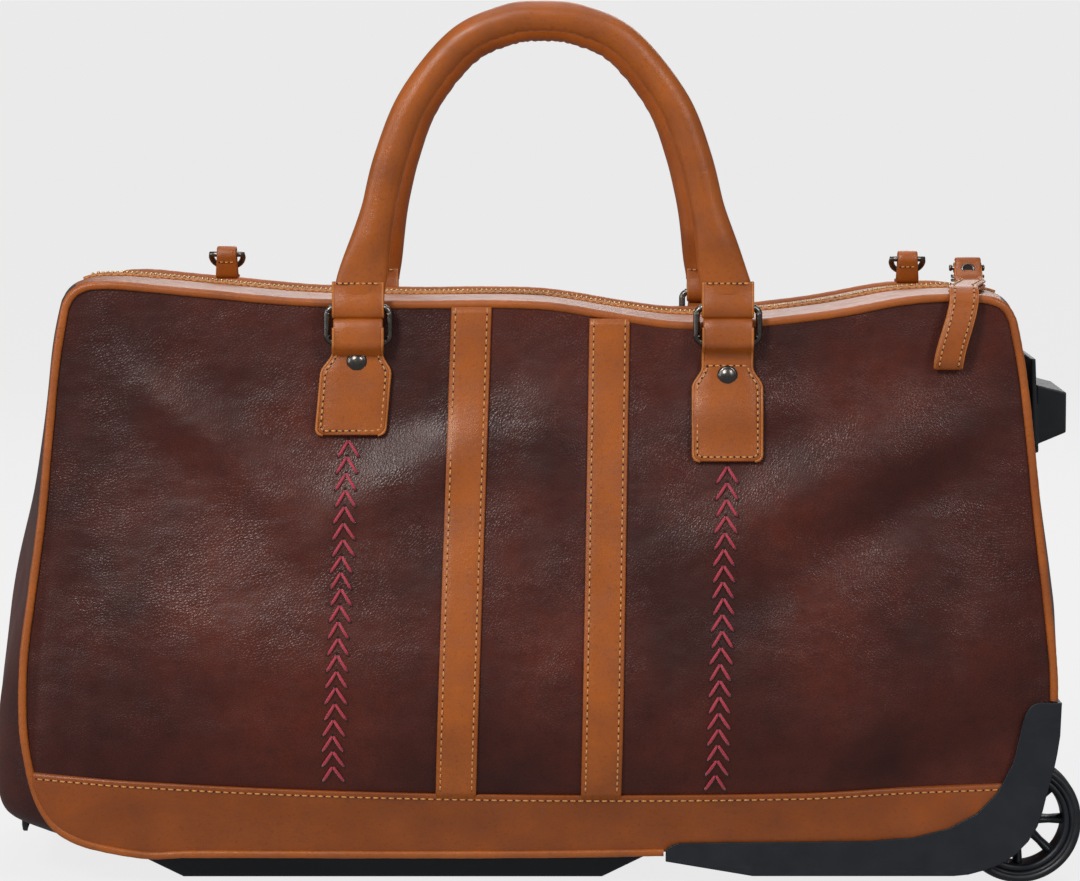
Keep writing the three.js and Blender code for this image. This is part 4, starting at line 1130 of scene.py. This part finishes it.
make_zip()
SLIDER_LOW, SLIDER_HIGH = box_of("zip_slider")
PIN = middle_of("puller_pin")
PIN_HALF = (box_of("puller_pin")[1] - box_of("puller_pin")[0])[0] / 2


# the bridge round the pin: along the slider, above the pin
BRIDGE = ((-2.4, -3.6), (-2.6, -1), (-1.9, 1.5), (0, 2.5), (1.9, 1.5), (2.6, -1), (2.4, -3.6))


def make_slider():
    """Two plates joined by a post, with a bridge over them that holds the pin."""
    x0, x1 = SLIDER_LOW[0], SLIDER_HIGH[0]
    base = SLIDER_LOW[2]
    steps = 14

    def half(i):
        return 4.5 * (0.55 + 0.45 * math.sin(math.pi * (0.12 + 0.66 * i / steps)) ** 0.7)

    parts = Parts()
    for z, t in ((base + 0.6, 1.3), (base + 2.7, 1.5)):
        path = [
            (mix(x0, x1, k / steps), 0, z + 0.3 * math.sin(math.pi * k / steps))
            for k in range(steps + 1)
        ]
        ribbon(parts, path, half, lambda i, t=t: t, lambda i: (0, 1, 0))
    post = mix(x0, x1, 0.8)
    parts.tube([(post, 0, base + 0.6), (post, 0, base + 2.8)], 1.6, 12)
    arch = [(mix(x0, x1, 0.5) + dx, 0, PIN[2] + dz) for dx, dz in BRIDGE]
    parts.tube(rounded_path(arch, per_span=5), 0.9, 10, squeeze=lambda i: (1.7, 0.8))
    parts.make("slider_body", GUNMETAL, body="slider", replaces=["zip_slider"])
    pin = Parts()

    def turned(stations, radii):
        path = [PIN + np.array((dx, 0, 0)) for dx in stations]
        pin.tube(path, max(radii), 16, squeeze=lambda i: (radii[i],) * 2)

    turned((-PIN_HALF, -PIN_HALF + 0.4, PIN_HALF - 0.4, PIN_HALF), (0.8, 1.2, 1.2, 0.8))
    for way in (-1, 1):
        turned([way * PIN_HALF + dx for dx in (-1.1, -0.8, 0.2, 0.6)], (1.0, 1.7, 1.7, 0.9))
    pin.make("slider_pin", GUNMETAL, body="slider", replaces=["puller_pin"])


make_slider()


SLANT = -20  # the pull strap's hanging end lies this much further left than the pin


def make_puller():
    """A folded strap from the slider's pin over the front edge: a flattened loop below an eyelet tab."""
    low, high = box_of("zip_puller")
    x, pin_z = PIN[0], PIN[2]
    half = (high[0] - low[0]) / 2 - 0.4
    edge = edge_heights(FRONT, x) + PIPING_RADIUS + 1.6
    front = low[1] + 1.6
    bottom = low[2] + 1
    over_edge = -PANEL_Y + 3
    per_span = 9
    level = [(y, on_zip(x, y)[2] + 2.4) for y in (-14, -40, -70, -95)]
    inner = [(-1.5, pin_z - 1.4)] + level + [
        (over_edge, edge + 0.4), (front + 1.2, edge - 4), (front + 2.0, edge - 14),
        (front + 1.8, bottom + 14), (front + 1.8, bottom + 4),
    ]
    turn = [(front + 0.2, bottom), (front - 1.9, bottom + 1.4)]
    outer = [
        (front - 3.4, bottom + 6), (front - 3.2, bottom + 18), (front - 1.2, edge - 8),
        (front + 0.6, edge - 0.5), (over_edge, edge + 2.6),
    ]
    round_pin = [(-3, pin_z + 1.4), (0.4, pin_z + 2.4), (2.8, pin_z + 0.4), (1.2, pin_z - 2.4)]
    outer += [(y, z + 2.2) for y, z in level[::-1]] + round_pin
    line = rounded_path(inner + turn + outer, per_span=per_span)

    def shift(y, z):
        return SLANT * smooth((-y - 20) / 95) * 0.6 + SLANT * 0.4 * smooth((edge - z) / 40)

    path = [(x + shift(y, z), y, z) for y, z in line]
    parts = Parts()
    ribbon(parts, path, lambda i: half, lambda i: 1.5, ACROSS_X)
    parts.make("pull_strap_leather", TAN, body="pull_strap", replaces=["zip_puller"])
    edges = Parts()
    for way in (-1, 1):
        edges.tube([(p[0] + way * (half - 0.1), p[1], p[2]) for p in path], 0.62, 6)
    edges.make("pull_strap_edges", EDGE_TAN, body="pull_strap")
    stitching = Stitching()
    tangents = lengthwise(path)
    first = (len(inner) + len(turn) - 1) * per_span
    last = len(path) - len(round_pin) * per_span
    for way in (-1, 1):
        beside = np.array((way * (half - 2), 0, 0))
        sewn = [
            np.array(path[i]) + beside + np.cross(tangents[i], (1, 0, 0)) * -0.95
            for i in range(first, last)
        ]
        stitching.seam(
            sewn, lambda p: (0, -0.8, 0.6) if p[2] > edge - 2 else (0, -1, 0), pitch=3.0, radius=0.38
        )
    stitching.make("pull_strap_thread", "pull_strap_needle_holes", "pull_strap")

    tab = Parts()
    # to the right of the pin, back from the pin, above the pin
    tab_track = ((0, 0.5, 4.2), (0, -2.6, 4.6), (0, -4.4, 1.5), (-0.4, -6, -2.5), (-0.8, -8.5, -5.5))
    tab_line = rounded_path([(x + dx, y, pin_z + dz) for dx, y, dz in tab_track], per_span=8)
    ribbon(tab, tab_line, lambda i: half, lambda i: 1.9, ACROSS_X)
    tab.make("pull_strap_tab", TAN, body="pull_strap")
    eyelet = Parts()
    n = np.array((0, -0.93, 0.37))
    c = np.array((x - 0.2, -6.3, pin_z + 0.1))
    up = np.cross(n, (1, 0, 0))
    circle = [c + 3.0 * np.array((math.cos(a), 0, 0)) + up * 2.3 * math.sin(a) for a in TURN]
    eyelet.tube(circle, 0.6, 8, closed=True, up=n)
    eyelet.make("pull_strap_eyelet", GUNMETAL, body="pull_strap")
    # painted shade: a dark disc inside the eyelet stands for the hole through the tab
    dark = Parts()
    dark.disc(c + n * 0.15, n, 2.5, 24)
    dark.make("pull_strap_eyelet_shade", HOLE_SHADE, body="pull_strap", smooth=False)


make_puller()


# ---- shoulder-strap tabs
D_RING_WIRE, D_RING_REACH, D_RING_DROOP = 1.5, 13, math.radians(35)


def make_tab(name):
    """A strap folded over the D-ring's bar and sewn to the top, and the ring leaning back from it."""
    low, high = box_of("strap_tab_" + name)
    ring_low, ring_high = box_of("d_ring_" + name)
    x, y = (low[0] + high[0]) / 2, low[1] + 4.2
    half = (high[0] - low[0]) / 2
    bar = high[2] - 4.2
    foot = low[2]
    track = [
        (y + 15, foot + 0.8), (y + 8, foot + 0.9), (y + 3.2, foot + 2.6), (y + 2.6, bar - 5),
        (y + 3.2, bar - 1), (y + 2.2, bar + 2.6), (y, bar + 3.4), (y - 2.2, bar + 2.6),
        (y - 3.2, bar - 0.5), (y - 2.4, bar - 5), (y - 1.2, foot + 2.4), (y + 0.5, foot + 0.6),
    ]
    line = rounded_path(track, per_span=7)
    path = [(x, py, pz) for py, pz in line]
    parts = Parts()
    ribbon(
        parts, path, lambda i: half * (1 - 0.12 * smooth((line[i][1] - foot) / 14)),
        lambda i: 1.8, ACROSS_X,
    )
    parts.make("tab_leather_" + name, TAN, replaces=["strap_tab_" + name])
    stitching = Stitching()
    sewn = [(x + t * (half - 2), y - 3.6, bar - 4.2) for t in np.linspace(-1, 1, 7)]
    stitching.seam(sewn, (0, -1, 0), pitch=2.6, radius=0.4)
    stitching.make("tab_thread_" + name, "tab_needle_holes_" + name)
    w = (ring_high[0] - ring_low[0]) / 2 - D_RING_WIRE
    cx = (ring_low[0] + ring_high[0]) / 2
    back, up = math.cos(D_RING_DROOP), math.sin(D_RING_DROOP)
    path = []
    for a in np.linspace(0, math.pi, 21):
        out = D_RING_REACH * math.sin(a) ** 0.8
        path.append((cx + w * math.cos(a), y + out * back, bar - out * up))
    path += [(cx + w * t, y, bar) for t in (-0.6, -0.2, 0.2, 0.6)]
    ring = Parts()
    ring.tube(path, D_RING_WIRE, 12, closed=True, up=(0, up, back))
    ring.make(
        "d_ring_wire_" + name, GUNMETAL, body=name + "_d_ring",
        replaces=["d_ring_" + name],
    )


for name in ("left", "right"):
    make_tab(name)


# ---- hard parts: CAD shapes with their edges rounded
def softened(node, body, material, width, segments=3, angle=28):
    """The CAD node's own shape with rounded edges, where its faces meet at more than angle degrees."""
    mesh = bmesh.new()
    mesh.from_mesh(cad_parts[node].data)
    bmesh.ops.remove_doubles(mesh, verts=mesh.verts, dist=1e-6)
    bmesh.ops.dissolve_limit(mesh, angle_limit=math.radians(1.5), verts=mesh.verts, edges=mesh.edges)
    limit = math.radians(angle)
    sharp = [e for e in mesh.edges if len(e.link_faces) == 2 and e.calc_face_angle(0) > limit]
    bmesh.ops.bevel(
        mesh, geom=sharp, offset=width * MM, segments=segments, profile=0.6,
        affect="EDGES", clamp_overlap=True,
    )
    data = bpy.data.meshes.new(node + "_rounded")
    mesh.to_mesh(data)
    mesh.free()
    data.materials.clear()
    data.materials.append(material)
    data.shade_smooth()
    made = place(node + "_rounded", data, body, [node])
    made.modifiers.new("normals", "WEIGHTED_NORMAL").keep_sharp = False


for node, body, width, segments in (
    ("front_wheel_housing", "bag", 1.1, 3),
    ("rear_wheel_housing", "bag", 1.1, 3),
    ("skid", "bag", 1.6, 3),
    ("stand_foot", "bag", 2.2, 4),
    ("trolley_bezel", "bag", 0.9, 3),
    ("trolley_grip", "trolley_inner", 1.8, 4),
):
    softened(node, body, PLASTIC, width, segments)
softened("trolley_button", "release_button", GUNMETAL, 0.7)
for side in ("front", "rear"):
    for stage, body in (("outer", "bag"), ("middle", "trolley_middle"), ("inner", "trolley_inner")):
        softened(f"trolley_{stage}_{side}", body, ALUMINIUM, 0.35, 2)


def mirrored(profile):
    """A turned profile's inner half after its outer one."""
    return [(r, -out) for r, out in profile[::-1]]


def make_wheel(side):
    """A tyre, a rim, a hub and eight spokes, turned about the axle."""
    sign = -1 if side == "front" else 1
    low, high = box_of(side + "_tyre")
    radius = (high[2] - low[2]) / 2
    centre = (low + high) / 2
    half = (high[1] - low[1]) / 2
    body = side + "_wheel"
    # each profile: depth below the tread, depth below the side
    tyre_side = (
        (6.2, 2.2), (5.6, 0.9), (4.6, 0.5), (4.3, 0.9), (3.9, 0.9), (3.5, 0.3), (2, 0.3),
        (1, 1.2), (0.35, 3.2), (0, 6.5),
    )
    tread = [(radius - r, half - d) for r, d in tyre_side]
    tread += [(radius, 1.2), (radius - 0.7, 0.8), (radius - 0.7, 0)]
    lathe(
        side + "_tyre_rubber", tread + mirrored(tread)[1:], centre, sign, RUBBER, 120,
        body=body, replaces=[side + "_tyre"],
    )
    rim = [(radius - r, half - d) for r, d in ((6.3, 2.4), (6.6, 1.6), (8.8, 1.9), (9.3, 2.8))]
    rim.append((radius - 9.9, 3.4))
    rim += mirrored(rim) + rim[:1]
    lathe(side + "_rim", rim, centre, sign, PLASTIC, 96, body=body)
    hub = [(r, half - d) for r, d in ((3.4, 2.4), (4.2, 1.6), (7.2, 1.8), (8.4, 2.6), (9.0, 4.5))]
    hub += [(9.2, 0)] + mirrored(hub)
    lathe(side + "_hub", hub, centre, sign, PLASTIC, 64, body=body)
    spokes = Parts()
    count, stations = 8, 9
    for k in range(count):
        a = ROUND * k / count
        way = np.array((math.cos(a), 0, math.sin(a)))
        path = [centre + way * r for r in np.linspace(8.2, radius - 9, stations)]

        def section(i):
            flare = abs(i - stations // 2)
            return 2.1 + 0.12 * flare, 5.8 + 0.25 * flare

        spokes.tube(path, 2, 16, squeeze=section)
    spokes.make(
        side + "_spokes", PLASTIC, body=body, replaces=[side + "_wheel_core"]
    )


for side in ("front", "rear"):
    make_wheel(side)
bare = {"front_axle": GUNMETAL, "rear_axle": GUNMETAL, "base_tray": PLASTIC, "base_board": WOVEN}
for node, material in bare.items():
    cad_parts[node].data.materials.clear()
    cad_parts[node].data.materials.append(material)


# ---- floor, light and camera
PALE = (236, 236, 236)
WORLD_LIGHT = 0.22  # the world's strength for all but the camera's own rays


def studio_floor():
    """A pale floor that is lit evenly of itself and shows a faint shadow."""
    s = Shader("studio_floor", (52, 52, 52), 1.0)
    s.base.inputs["Emission Color"].default_value = (*linear(PALE), 1)
    s.base.inputs["Emission Strength"].default_value = 0.955
    return s.done()


bpy.ops.mesh.primitive_plane_add(size=4000, location=(0, 0, 0))
floor = bpy.context.object
floor.name = "floor"
floor.data.materials.append(studio_floor())
floor.visible_glossy = False


def lamp(name, location, aim, size, power, color=(1, 1, 1), size_y=None):
    data = bpy.data.lights.new(name, "AREA")
    data.shape, data.size, data.size_y = "RECTANGLE", size, size_y or size
    data.energy, data.color = power, color
    made = bpy.data.objects.new(name, data)
    bpy.context.scene.collection.objects.link(made)
    made.location = location
    way = np.array(aim, float) - np.array(location, float)
    flat = math.hypot(way[0], way[1])
    made.rotation_euler = (math.atan2(flat, -way[2]), 0, math.atan2(way[1], way[0]) - math.pi / 2)


lamp("key", (-1.15, -2.1, 1.75), (-0.05, 0, 0.2), 0.6, 52, (1, 0.98, 0.94), 0.8)
lamp("fill", (1.5, -1.9, 1.55), (0.1, 0, 0.2), 0.5, 22, (1, 1, 1), 0.9)
lamp("side", (-2.4, -0.7, 0.8), (0, 0, 0.2), 0.5, 14, (1, 1, 1), 1.4)
lamp("top", (0, 0.1, 2.3), (0, 0, 0.2), 1.8, 20)
lamp("back", (0.3, 2.2, 1.6), (0, 0, 0.3), 1.5, 22)

world = bpy.data.worlds.new("studio")
world.use_nodes = True
background = world.node_tree.nodes["Background"]
background.inputs["Color"].default_value = (*linear(PALE), 1)
seen = world.node_tree.nodes.new("ShaderNodeLightPath")
strength = world.node_tree.nodes.new("ShaderNodeMapRange")
strength.inputs["To Min"].default_value = WORLD_LIGHT
strength.inputs["To Max"].default_value = 1.0
world.node_tree.links.new(seen.outputs["Is Camera Ray"], strength.inputs["Value"])
world.node_tree.links.new(strength.outputs["Result"], background.inputs["Strength"])
bpy.context.scene.world = world
bpy.context.scene.view_settings.view_transform = "Standard"

CAMERA_PLACE = (0.0043, -2.5047, 0.4503)
CAMERA_TILT = 84.7  # degrees up from straight down
FOCAL_LENGTH = 158.1

camera = bpy.data.cameras.new("camera")
camera.lens = FOCAL_LENGTH
camera.sensor_width = 36
camera.clip_end = 5000
view = bpy.data.objects.new("camera", camera)
bpy.context.scene.collection.objects.link(view)
view.location = CAMERA_PLACE
view.rotation_euler = (math.radians(CAMERA_TILT), 0, 0)
bpy.context.scene.camera = view
